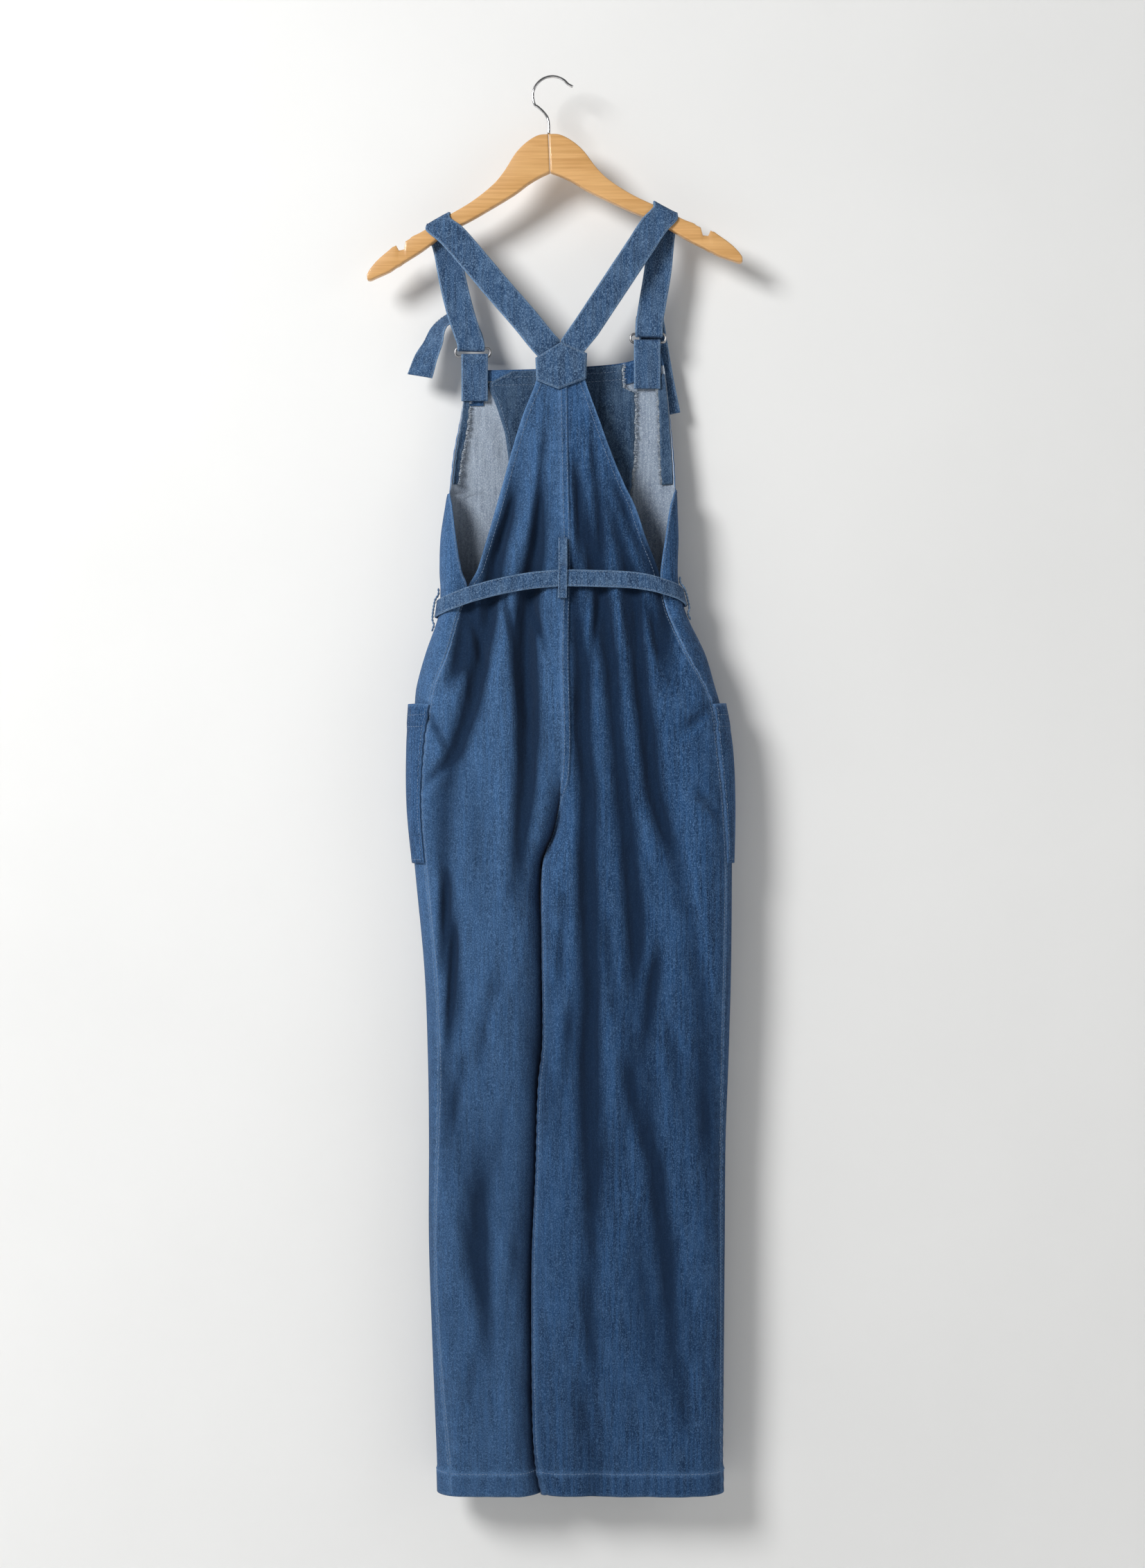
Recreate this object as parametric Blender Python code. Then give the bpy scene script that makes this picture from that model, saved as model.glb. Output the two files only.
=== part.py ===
# Denim overalls hanging by their straps on a wooden hanger, at real size.
# Metres, +Z up. The origin is the top of the hook's inner curve. -Y faces the garment's back,
# +Y its front, and +X is the wearer's right.
# The tables below are in millimetres: x across, y in depth, z up from the hook (all negative).

import bpy
import math
import numpy as np

MM = 0.001

# Walls and gaps
WALL = 1.4
SEAM_GAP = 0.3
STRAP_WIDTH = 31.0
STRAP_THICK = 2.2
BELT_WIDTH = 19.0
BELT_THICK = 2.6
RING_WIRE = 2.4
HANGER_THICK = 12.0
HANGER_TILT = math.radians(2.7)

# Heights of the main levels
YOKE_Z = -338.0
BIB_Z = -325.0
HEM_Z = -1590.0
SPLIT_Z = -775.0
CROTCH_Z = -849.0
TIPS_APART_Z = -915.0
TIPS_CROSS_Z = -965.0

# Levels of the panels' rows, as (height, steps down to it), and the panels' columns
LEVEL_STEPS = [(-576.0, 8), (CROTCH_Z, 9), (TIPS_APART_Z, 3), (HEM_Z, 13)]
BACK_COLUMNS = 19
FRONT_COLUMNS = 14

# The garment's outline seen from the back: silhouette, front panels' edges and back panels' edges.
# Below the waist both edges run together as the side seam.
OUTLINE_COLUMNS = ("z", "left_out", "left_front", "left_back", "right_back", "right_front", "right_out")
OUTLINE = [
    (-325, -98, -98, -13, 32, 125, 125),
    (-346, -101, -101, -19, 38, 129, 129),
    (-382, -106, -106, -33, 51, 134, 134),
    (-421, -113, -113, -45, 65, 138, 138),
    (-458, -117, -117, -55, 80, 140, 140),
    (-483, -121, -113, -62, 92, 133, 141),
    (-518, -126, -108, -72, 104, 127, 142),
    (-557, -127, -101, -84, 119, 121, 141),
    (-576, -126, -95, -95, 122, 122, 143),
    (-605, -128, -105, -105, 129, 129, 151),
    (-649, -143, -117, -117, 149, 149, 172),
    (-686, -153, -132, -132, 170, 170, 183),
    (-707, -155, -136, -136, 178, 178, 189),
    (-757, -159, -143, -143, 184, 184, 198),
    (-821, -160, -146, -146, 191, 191, 202),
    (-887, -155, -141, -141, 194, 194, 202),
    (-1005, -144, -130, -130, 192, 192, 201),
    (-1111, -140, -126, -126, 190, 190, 198),
    (-1193, -139, -128, -128, 189, 189, 195),
    (-1310, -139, -131, -131, 189, 189, 194),
    (-1429, -135, -126, -126, 189, 189, 193),
    (-1555, -130, -115, -115, 189, 189, 192),
    (-1590, -129, -113, -113, 189, 189, 192),
]

# Centre back seam, which becomes the right leg's inner edge below the crotch
INNER_COLUMNS = ("z", "x")
INNER = [
    (-325, 8), (-458, 10), (-540, 12), (-650, 10), (-740, 12), (-778, 11), (-817, 8), (-849, 2),
    (-884, -10), (-973, -11), (-1083, -10), (-1133, -15), (-1236, -18), (-1328, -22), (-1459, -22),
    (-1548, -19), (-1590, -11),
]

# Depth of the back and the front, of the silhouette between them, and length of its rounding
DEPTH_COLUMNS = ("z", "back", "side", "front", "round")
DEPTH = [
    (-325, -12.5, 17, 18, 28),
    (-370, -14, 15.5, 19.5, 28),
    (-410, -16, 10, 21.5, 30),
    (-458, -19, 4, 24, 34),
    (-520, -25, 0, 26, 36),
    (-576, -29, -2, 27, 36),
    (-649, -35, 0, 31, 40),
    (-720, -39, 0, 35, 42),
    (-800, -38, 0, 34, 42),
    (-900, -34, 0, 30, 38),
    (-1110, -31, 0, 28, 36),
    (-1400, -28, 0, 26, 34),
    (-1590, -26, 0, 24, 32),
]

# Largest folds of the back: rows of height, place across and depth, from top to bottom
FOLD_WIDTH = 12.0
BACK_FOLDS = [
    [(-500, -100, 0), (-550, -99, 5), (-599, -96, 8), (-661, -105, 8), (-700, -121, 0)],
    [(-380, -30, 0), (-440, -36, 3), (-490, -46, 6), (-537, -61, 8), (-599, -70, 10), (-661, -81, 10),
     (-732, -97, 8), (-790, -116, 5), (-888, -118, 4), (-1005, -110, 4), (-1161, -118, 3), (-1300, -122, 0)],
    [(-440, -8, 0), (-490, -14, 5), (-550, -21, 10), (-599, -27, 12), (-661, -30, 13), (-732, -28, 13),
     (-800, -29, 11), (-880, -38, 6), (-960, -44, 0)],
    [(-490, 12, 0), (-537, 19, 4), (-599, 26, 6), (-661, 34, 8), (-732, 33, 9), (-810, 40, 9), (-888, 39, 8),
     (-1005, 44, 7), (-1161, 41, 6), (-1320, 45, 4), (-1440, 42, 2), (-1530, 30, 0)],
    [(-420, 25, 0), (-490, 36, 5), (-537, 45, 7), (-599, 57, 8), (-661, 65, 9), (-732, 72, 8), (-810, 81, 7),
     (-888, 88, 6), (-1005, 93, 5), (-1161, 86, 4), (-1260, 82, 0)],
    [(-450, 62, 0), (-490, 71, 4), (-537, 81, 6), (-599, 93, 9), (-661, 96, 9), (-732, 105, 9), (-810, 114, 8),
     (-888, 140, 4), (-1005, 162, 3), (-1161, 170, 3), (-1230, 172, 0)],
    [(-500, 104, 0), (-537, 111, 5), (-599, 127, 7), (-661, 128, 4), (-700, 132, 0)],
    [(-1050, 118, 0), (-1161, 106, 4), (-1240, 118, 5), (-1340, 128, 4), (-1460, 140, 3), (-1540, 150, 0)],
    [(-1150, -70, 0), (-1310, -80, 4), (-1430, -70, 3), (-1540, -62, 0)],
]
FRONT_FOLDS = [
    [(-500, -88, 0), (-599, -84, 9), (-661, -88, 9), (-760, -100, 6), (-900, -104, 0)],
    [(-470, -40, 0), (-599, -48, 10), (-700, -52, 10), (-850, -60, 8), (-1050, -66, 5), (-1250, -72, 0)],
    [(-520, 4, 0), (-599, -4, 7), (-680, -12, 7), (-740, -14, 0)],
    [(-470, 48, 0), (-599, 56, 10), (-700, 64, 10), (-850, 74, 8), (-1050, 84, 5), (-1300, 88, 0)],
    [(-500, 98, 0), (-599, 104, 9), (-661, 112, 8), (-760, 126, 6), (-900, 140, 0)],
]

# Top edge of the bib: it stands higher at the wearer's right
BIB_TOP = [(-110, -327), (-20, -325), (40, -322), (80, -318), (105, -311), (135, -306)]
BIB_LEVEL_Z = -420.0
FREE_EDGE = 1.5

# What lies on a panel: the gap under it and its thickness
LAY_GAP = 0.4
LAY_THICK = 1.2

# Facing inside the bib: left and right edge at each height
FACING = [(-327, -46, 79), (-341, -74, 79), (-352, -70, 79), (-358, -67, 93), (-368, -63, 93),
          (-397, -54, 93), (-427, -50, 92), (-457, -50, 89), (-486, -50, 86)]
FACING_COLUMNS = 11

# Narrow facings along the bib's outer edges: their raw edge at each height
ARMHOLE_FACINGS = {-1: [(-340, -92), (-396, -98), (-425, -105), (-460, -110)],
                   1: [(-340, 119), (-396, 122), (-425, 123), (-460, 126)]}
ARMHOLE_FACING_TOP = -362.0
ARMHOLE_FACING_END = -460.0

# Tab patches on the bib's inside: first x, last x, top, bottom
TAB_PATCHES = {-1: (-94, -78, -327, -366), 1: (82, 123, -327, -349)}

# Patch pockets on the front, sewn into the side seams
POCKET_TOP = -705.0
POCKET_BOTTOM = -887.0
POCKET_COLUMNS = 8
POCKET_GAPE = 5.0
POCKET_GAP = 1.6

# Six-sided yoke patch, seen from the back, and its depth
YOKE = [(10, -300), (-19, -318), (-18, -343), (7, -353), (38, -341), (39, -313)]
YOKE_Y = (-15.7, -17.1)

# Rings: middle of the pair, outer size and distance between the two
RING_X = {-1: -90.0, 1: 108.0}
RING_Y = 12.4
RING_Z = {-1: -307.0, 1: -291.0}
RING_WIDTH = 42.0
RING_HEIGHT = 12.0
RING_PAIR = 3.0
RING_CORNER = 4.0

# Tabs: middle, width, wall and lower end
TAB_X = {-1: -88.0, 1: 107.0}
TAB_WIDTH = 30.0
TAB_WALL = 1.4
TAB_END = {-1: -362.0, 1: -348.0}

# Strap routes at the middle of their thickness: x, y, z and the direction of the width.
# First the back from the yoke to the hanger, then the front down to the rings.
STRAP_BACK = {
    -1: [(-8, -14.2, -303, 0.77, 0, 0.64), (-34, -13.7, -271, 0.77, 0, 0.64), (-61, -12.8, -240, 0.77, 0, 0.64),
         (-87, -11.6, -209, 0.77, 0, 0.64), (-113, -9.8, -179, 0.8, 0, 0.6)],
    1: [(36, -14.2, -287, 0.83, 0, -0.56), (67, -12.8, -240, 0.83, 0, -0.56), (98, -11, -193, 0.83, 0, -0.56),
        (115, -9.6, -167, 0.86, 0, -0.5)],
}
STRAP_FRONT = {
    -1: [(-120, 8.6, -188, 0.96, 0, 0.28), (-113, 9, -225, 0.97, 0, 0.24), (-104, 8.6, -262, 0.98, 0, 0.2),
         (-95, 8.3, -290, 1, 0, 0.05)],
    1: [(123, 8.6, -175, 0.98, 0, -0.2), (119, 9, -215, 0.99, 0, -0.12), (113, 8.6, -252, 1, 0, -0.1),
        (109.5, 8.3, -274, 1, 0, 0)],
}
STRAP_LOOSE = {
    -1: [(-94, 18, -288, 1, 0.15, 0), (-98, 21, -277, 0.8, 0.5, 0.3), (-106, 23, -269, 0.4, 0.75, 0.5),
         (-116, 23, -267, 0.1, 0.8, 0.6), (-126, 21, -274, -0.35, 0.8, 0.35), (-132, 18, -286, -0.6, 0.75, 0.25),
         (-137, 15, -300, -0.75, 0.6, 0.2), (-144, 12, -316, -0.85, 0.45, 0.3), (-150, 10, -334, -0.9, 0.3, 0.2)],
    1: [(109.5, 17, -272, 1, 0, 0), (110, 19, -265, 1, 0, 0.1), (110.5, 22.5, -263, 1, 0, 0.12),
        (111, 25, -268, 1, 0, 0.15), (114, 26.5, -288, 0.98, 0, 0.2), (121, 26.5, -330, 0.98, 0, 0.2),
        (130, 25, -376, 0.98, 0, 0.2)],
}
STRAP_TOP = {-1: (-128.5, -161.3, 0.88, 0.48), 1: (127.0, -149.0, 0.89, -0.45)}
MITRE_X = {-1: 8.6, 1: 9.6}
MITRE_Z = -320.0
MITRE_HALF = 22.5

# Belt: height of its middle at each x of the back; the front runs straight between the ends
BELT_BACK = [(-130, -599), (-115, -593), (-85, -582), (-39, -571), (4, -566), (41, -566), (98, -569),
             (136, -579), (148, -586)]
BELT_LIFT = 2.0
BELT_STEPS = 26
LOOP_WALL = 1.2
BACK_LOOP_X = 11.0
BACK_LOOP_TOP = -520.0
BACK_LOOP_END = -588.0
BACK_LOOP_WIDTH = 10.0
SIDE_LOOP_WIDTH = 7.0
SIDE_LOOP_REACH = 24.0

# Hanger arm: distance from its middle joint, top and underside, before the hanger's tilt
HANGER_MIDDLE = -2.5
HANGER_SHIFT = -5.0
ARM = [(0.2, -64, -107), (12, -65, -112), (25, -72, -119), (38, -84, -128), (52, -104, -136), (65, -118, -143),
       (90, -136, -156), (120, -152, -170), (147, -167, -188), (166, -177, -199), (168, -186, -200),
       (174, -187, -204), (177, -181, -205), (185, -186, -210), (200, -198, -216), (208, -207, -219),
       (211, -212, -218)]
ARM_BEVEL = 2.6

# Hook: wire and route in the x-z plane, its bow as an arc about its centre
HOOK_RADIUS = 1.6
HOOK_BOW = 22.0
HOOK_TIP = [(23, -10), (17.5, -7)]
HOOK_STEM = [(-17.2, -32), (-10, -38.5), (-5.5, -45), (-4, -53), (-3.9, -63.4)]


def column(table, columns, name):
    """Heights and values of one named column of a table."""
    index = columns.index(name)
    return [row[0] for row in table], [row[index] for row in table]


def smooth_value(knots, values, at):
    """Cubic interpolation through a table whose knots run in either direction."""
    if knots[0] > knots[-1]:
        knots = [-knot for knot in knots]
        at = -at
    if at <= knots[0]:
        return float(values[0])
    if at >= knots[-1]:
        return float(values[-1])
    slopes = []
    for i in range(len(knots)):
        low = max(i - 1, 0)
        high = min(i + 1, len(knots) - 1)
        slopes.append((values[high] - values[low]) / (knots[high] - knots[low]))
    i = int(np.searchsorted(knots, at)) - 1
    span = knots[i + 1] - knots[i]
    t = (at - knots[i]) / span
    start = (2 * t**3 - 3 * t**2 + 1) * values[i] + (t**3 - 2 * t**2 + t) * span * slopes[i]
    end = (-2 * t**3 + 3 * t**2) * values[i + 1] + (t**3 - t**2) * span * slopes[i + 1]
    return float(start + end)


def outline(name, z):
    return smooth_value(*column(OUTLINE, OUTLINE_COLUMNS, name), z)


def depth(name, z):
    return smooth_value(*column(DEPTH, DEPTH_COLUMNS, name), z)


def ease(low, high, value):
    """0 at low, 1 at high, smooth between."""
    t = min(max((value - low) / (high - low), 0.0), 1.0)
    return t * t * (3 - 2 * t)


def quarter_round(distance, length):
    """Rise of a quarter ellipse: 0 at the edge, 1 from the rounding's length inwards."""
    t = min(max(distance / length, 0.0), 1.0)
    return math.sqrt(max(1 - (1 - t) ** 2, 0.0))


def fold_depth(folds, x, z):
    """How far the folds push the cloth inwards at one place."""
    total = 0.0
    for rows in folds:
        if not rows[-1][0] < z < rows[0][0]:
            continue
        heights = [row[0] for row in rows]
        centre = smooth_value(heights, [row[1] for row in rows], z)
        sink = smooth_value(heights, [row[2] for row in rows], z)
        total += max(sink, 0.0) * math.exp(-(((x - centre) / FOLD_WIDTH) ** 2))
    return total


def inner_edge(side, z):
    """x of the centre seam, and below the crotch of a leg's inner edge."""
    knots, values = column(INNER, INNER_COLUMNS, "x")
    x = smooth_value(knots, values, z)
    if side < 0 and z < CROTCH_Z:
        apart = 0.6 * ease(CROTCH_Z, CROTCH_Z - 15, z)
        crossed = 3.0 * ease(TIPS_APART_Z, TIPS_CROSS_Z, z)
        x += crossed - apart
    return x


def inner_depth(side, z):
    """y of a leg's inner edge: the right leg's lies in front of the left leg's, seen from the back."""
    return -side * 12.0 * ease(CROTCH_Z, TIPS_APART_Z, z)


def cloth_point(side, q, z, folded=True):
    """Point of the outer cloth surface, in millimetres.

    side is -1 for the half at -X and 1 for the half at +X. q runs round the half from the centre
    back, -1, past the silhouette, 0, to the centre front, 1.
    """
    word = "left" if side < 0 else "right"
    out = outline(word + "_out", z)
    inner = inner_edge(side, z)
    share = (1 - math.cos(math.pi * abs(q))) / 2
    x = out + (inner - out) * share
    rounding = depth("round", z)
    rise = quarter_round(abs(x - out), rounding)
    split = ease(SPLIT_Z, CROTCH_Z, z)
    inside = depth("side", z) * (1 - share) + inner_depth(side, z) * share
    rise *= 1 - split + split * quarter_round(abs(x - inner), rounding)
    if q < 0:
        face = depth("back", z) + (fold_depth(BACK_FOLDS, x, z) if folded else 0.0)
    else:
        face = depth("front", z) - (fold_depth(FRONT_FOLDS, x, z) if folded else 0.0)
    return np.array((x, inside + (face - inside) * rise, z))


def tilt_bib(point):
    """Lift the rows near the top edge so that they follow the bib's uneven top."""
    x, y, z = point
    knots = [row[0] for row in BIB_TOP]
    top = smooth_value(knots, [row[1] for row in BIB_TOP], x)
    share = ease(BIB_LEVEL_Z, BIB_Z, z)
    return np.array((x, y, z + (top - BIB_Z) * share))


def edge_turn(side, edge_x, z):
    """q of the place on the back where the cloth passes edge_x."""
    out = outline("left_out" if side < 0 else "right_out", z)
    share = abs(edge_x - out) / abs(inner_edge(side, z) - out)
    return -math.acos(1 - 2 * min(share, 1.0)) / math.pi


def trim(side, start, towards, z):
    """Move q from an edge until the path is half a seam gap long."""
    begin = cloth_point(side, start, z)
    low, high = 0.0, 0.2
    for _ in range(18):
        middle = (low + high) / 2
        gone = np.linalg.norm(cloth_point(side, start + towards * middle, z) - begin)
        if gone < SEAM_GAP / 2:
            low = middle
        else:
            high = middle
    return start + towards * high


def cloth_normal(side, q, z):
    """Unit normal of the cloth surface, pointing out of the garment."""
    step_q, step_z = 0.004, 1.5
    q_low, q_high = max(q - step_q, -1.0), min(q + step_q, 1.0)
    z_low, z_high = max(z - step_z, HEM_Z), min(z + step_z, BIB_Z)
    across = cloth_point(side, q_high, z) - cloth_point(side, q_low, z)
    up = cloth_point(side, q, z_high) - cloth_point(side, q, z_low)
    normal = np.cross(across, up) * side
    return normal / np.linalg.norm(normal)


def material(name, colour, roughness, metallic=0.0):
    made = bpy.data.materials.get(name)
    if made is None:
        made = bpy.data.materials.new(name)
        made.use_nodes = True
        shader = made.node_tree.nodes["Principled BSDF"]
        shader.inputs["Base Color"].default_value = (*colour, 1.0)
        shader.inputs["Roughness"].default_value = roughness
        shader.inputs["Metallic"].default_value = metallic
    return made


def denim():
    return material("denim", (0.06, 0.12, 0.25), 0.85)


def add_mesh(name, points, faces, finish):
    """Make one object of points in millimetres, faces turned outwards."""
    mesh = bpy.data.meshes.new(name)
    mesh.from_pydata([tuple(float(value) * MM for value in point) for point in points], [], faces)
    mesh.validate()
    made = bpy.data.objects.new(name, mesh)
    bpy.context.scene.collection.objects.link(made)
    mesh.materials.append(finish)
    volume = 0.0
    for face in mesh.polygons:
        corners = [mesh.vertices[index].co for index in face.vertices]
        for i in range(1, len(corners) - 1):
            volume += corners[0].dot(corners[i].cross(corners[i + 1]))
    if volume < 0:
        mesh.flip_normals()
    mesh.shade_smooth()
    mesh.set_sharp_from_angle(angle=math.radians(40))
    return made


def add_wall(name, outer, inner, finish):
    """Closed wall between two grids of points that have the same rows and columns."""
    rows, columns = len(outer), len(outer[0])
    points = [point for row in outer for point in row] + [point for row in inner for point in row]
    under = rows * columns
    faces = []
    for r in range(rows - 1):
        for c in range(columns - 1):
            a = r * columns + c
            quad = (a, a + 1, a + columns + 1, a + columns)
            faces.append(quad)
            faces.append(tuple(under + index for index in reversed(quad)))
    rim = [c for c in range(columns)]
    rim += [r * columns + columns - 1 for r in range(1, rows)]
    rim += [(rows - 1) * columns + c for c in range(columns - 2, -1, -1)]
    rim += [r * columns for r in range(rows - 2, 0, -1)]
    for here, after in zip(rim, rim[1:] + rim[:1]):
        faces.append((after, here, under + here, under + after))
    return add_mesh(name, points, faces, finish)


def layer_grid(side, rows, turns, lift):
    """Grid of cloth points moved out by lift. turns gives the row's first and last q."""
    grid = []
    for z, count in rows:
        start, end = turns(z)
        line = []
        for c in range(count):
            q = start + (end - start) * c / (count - 1)
            point = cloth_point(side, q, z) + cloth_normal(side, q, z) * lift(c / (count - 1), z)
            line.append(tilt_bib(point) if q > 0 else point)
        grid.append(line)
    return grid


def panel_levels():
    """Heights of the rows that all four panels share."""
    levels = [YOKE_Z]
    for bottom, steps in LEVEL_STEPS:
        top = levels[-1]
        levels += [top + (bottom - top) * step / steps for step in range(1, steps + 1)]
    return levels


def add_layer(name, side, rows, turns, outside, thick, finish):
    """Cloth piece whose outer face lies at outside(share, z) from the garment's surface."""
    outer = layer_grid(side, rows, turns, outside)
    inner = layer_grid(side, rows, turns, lambda share, z: outside(share, z) - thick)
    return add_wall(name, outer, inner, finish)


def word(side):
    return "left" if side < 0 else "right"


def back_turns(side):
    def turns(z):
        edge = edge_turn(side, outline(word(side) + "_back", z), z)
        return trim(side, edge, -1, z), trim(side, -1.0, 1, z)
    return turns


def front_turns(side):
    def turns(z):
        edge_x, out = outline(word(side) + "_front", z), outline(word(side) + "_out", z)
        if abs(edge_x - out) < FREE_EDGE:
            return front_turn(side, out - side * FREE_EDGE, z), trim(side, 1.0, -1, z)
        return trim(side, edge_turn(side, edge_x, z), 1, z), trim(side, 1.0, -1, z)
    return turns


def build_panels():
    flush = lambda share, z: 0.0
    for side in (-1, 1):
        rows = [(z, BACK_COLUMNS) for z in panel_levels()]
        add_layer("back_" + word(side), side, rows, back_turns(side), flush, WALL, denim())
        rows = [(z, FRONT_COLUMNS) for z in [BIB_Z] + panel_levels()]
        add_layer("front_" + word(side), side, rows, front_turns(side), flush, WALL, denim())


def front_turn(side, x, z):
    """q of the place on the front at x."""
    out = outline(word(side) + "_out", z)
    share = abs(x - out) / abs(inner_edge(side, z) - out)
    return math.acos(1 - 2 * min(share, 1.0)) / math.pi


def on_front(x, z, lift):
    """Point at x on the front panels, moved out by lift."""
    side = -1 if x < inner_edge(-1, z) else 1
    q = front_turn(side, x, z)
    return tilt_bib(cloth_point(side, q, z) + cloth_normal(side, q, z) * lift)


def add_inside_layer(name, rows, columns, finish):
    """Piece on the bib's inside. rows holds height, first x and last x."""
    grids = []
    for lift in (-WALL - LAY_GAP, -WALL - LAY_GAP - LAY_THICK):
        grids.append([[on_front(first + (last - first) * c / (columns - 1), z, lift) for c in range(columns)]
                      for z, first, last in rows])
    return add_wall(name, grids[0], grids[1], finish)


def add_armhole_facing(side):
    """Strip that follows the front panel's own columns up to its raw edge."""
    levels = [z for z in panel_levels() if ARMHOLE_FACING_END < z < ARMHOLE_FACING_TOP]
    raw = ARMHOLE_FACINGS[side]
    grids = []
    under = WALL + LAY_GAP + 0.3
    for lift in (-under, -under - LAY_THICK):
        grid = []
        for z in levels:
            start, end = front_turns(side)(z)
            step = (end - start) / (FRONT_COLUMNS - 1)
            last = front_turn(side, smooth_value([row[0] for row in raw], [row[1] for row in raw], z), z)
            turns = [start + step * 1.1, start + step * 1.6, max(last, start + step * 2.1)]
            grid.append([tilt_bib(cloth_point(side, q, z) + cloth_normal(side, q, z) * lift) for q in turns])
        grids.append(grid)
    add_wall("armhole_facing_" + word(side), grids[0], grids[1], denim())


def build_bib_inside():
    add_inside_layer("bib_facing", FACING, FACING_COLUMNS, denim())
    for side in (-1, 1):
        add_armhole_facing(side)
        first, last, top, bottom = TAB_PATCHES[side]
        rows = [(top, first, last), ((top + bottom) / 2, first, last), (bottom, first, last)]
        add_inside_layer("tab_patch_" + word(side), rows, 5, denim())


def build_pockets():
    levels = [z for z in panel_levels() if POCKET_BOTTOM + 10 < z < POCKET_TOP - 10]
    levels = [POCKET_TOP] + levels + [POCKET_BOTTOM]
    last_column = (POCKET_COLUMNS - 1) / (FRONT_COLUMNS - 1)

    def face(share, z):
        height = (z - POCKET_BOTTOM) / (POCKET_TOP - POCKET_BOTTOM)
        return POCKET_GAP + LAY_THICK + POCKET_GAPE * math.sin(math.pi * share) * height

    for side in (-1, 1):
        whole = front_turns(side)

        def turns(z, whole=whole):
            start, end = whole(z)
            return start, start + (end - start) * last_column

        rows = [(z, POCKET_COLUMNS) for z in levels]
        add_layer("pocket_" + word(side), side, rows, turns, face, LAY_THICK, denim())


def unit(vector):
    return np.array(vector, float) / np.linalg.norm(vector)


def add_sections(name, sections, closed, finish):
    """Closed solid through sections that all have the same number of corners."""
    corners = len(sections[0])
    points = [point for section in sections for point in section]
    faces = []
    count = len(sections)
    for s in range(count if closed else count - 1):
        here, after = s * corners, (s + 1) % count * corners
        for c in range(corners):
            d = (c + 1) % corners
            faces.append((here + c, here + d, after + d, after + c))
    if not closed:
        faces.append(tuple(reversed(range(corners))))
        faces.append(tuple((count - 1) * corners + c for c in range(corners)))
    return add_mesh(name, points, faces, finish)


def ribbon_sections(rows, width, thick, closed=False):
    """Rectangles across a ribbon. rows holds the middle and the direction of the width."""
    middles = [np.array(row[:3], float) for row in rows]
    sections = []
    count = len(rows)
    for i, row in enumerate(rows):
        before = middles[(i - 1) % count] if closed else middles[max(i - 1, 0)]
        after = middles[(i + 1) % count] if closed else middles[min(i + 1, count - 1)]
        along = unit(after - before)
        across = unit(row[3:6])
        normal = unit(np.cross(along, across))
        half_width, half_thick = across * width / 2, normal * thick / 2
        middle = middles[i]
        sections.append([middle + half_width + half_thick, middle - half_width + half_thick,
                         middle - half_width - half_thick, middle + half_width - half_thick])
    return sections


def strap_over_hanger(side):
    """Route over the hanger's arm, from the back to the front."""
    x, top, across_x, across_z = STRAP_TOP[side]
    reach = HANGER_THICK / 2 + SEAM_GAP + STRAP_THICK / 2 + 1.1
    profile = [(-reach, -5.0), (-reach + 2.6, 1.0), (0.0, 2.3), (reach - 2.6, 1.0), (reach, -5.0)]
    return [(x, y, top + rise, across_x, 0, across_z) for y, rise in profile]


def strap_through_rings(side):
    """Route under the upper bars of both rings, from the back to the front."""
    bar = RING_Z[side] + RING_HEIGHT / 2 - RING_WIRE / 2
    x = RING_X[side] + (-2.0 if side < 0 else 1.0)
    half = RING_PAIR / 2 + RING_WIRE / 2 + SEAM_GAP + STRAP_THICK / 2
    profile = [(-half, 3.0), (-half + 0.5, -1.6), (-half + 2.5, -2.8), (half - 2.5, -2.8), (half - 0.5, -1.6),
               (half, 3.0)]
    return [(x, RING_Y + y, bar + rise, 1, 0, 0) for y, rise in profile]


def build_straps():
    for side in (-1, 1):
        rows = STRAP_BACK[side] + strap_over_hanger(side) + STRAP_FRONT[side]
        rows = rows + strap_through_rings(side) + STRAP_LOOSE[side]
        sections = ribbon_sections(rows, STRAP_WIDTH, STRAP_THICK)
        upper, lower = MITRE_Z + MITRE_HALF, MITRE_Z - MITRE_HALF
        if side > 0:
            upper, lower = lower, upper
        y, half = STRAP_BACK[side][0][1], STRAP_THICK / 2
        mitre = [(MITRE_X[side], y + half, upper), (MITRE_X[side], y + half, lower),
                 (MITRE_X[side], y - half, lower), (MITRE_X[side], y - half, upper)]
        sections.insert(0, [np.array(corner) for corner in mitre])
        add_sections("strap_" + word(side), sections, False, denim())


def build_yoke_patch():
    sections = [[np.array((x, y, z)) for x, z in YOKE] for y in YOKE_Y]
    add_sections("yoke_patch", sections, False, denim())


def build_tabs():
    half = RING_PAIR / 2 + RING_WIRE / 2 + SEAM_GAP + TAB_WALL / 2
    near = TAB_WALL / 2 + 0.2
    for side in (-1, 1):
        bar = RING_Z[side] - RING_HEIGHT / 2 + RING_WIRE / 2
        end = TAB_END[side]
        profile = [(near, end), (near, bar - 9), (half, bar - 2), (half - 0.5, bar + 1.2), (half - 2.2, bar + 2.4)]
        profile += [(-y, z) for y, z in reversed(profile)]
        rows = [(TAB_X[side], RING_Y + y, z, 1, 0, 0) for y, z in profile]
        add_sections("tab_" + word(side), ribbon_sections(rows, TAB_WIDTH, TAB_WALL), False, denim())


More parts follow.
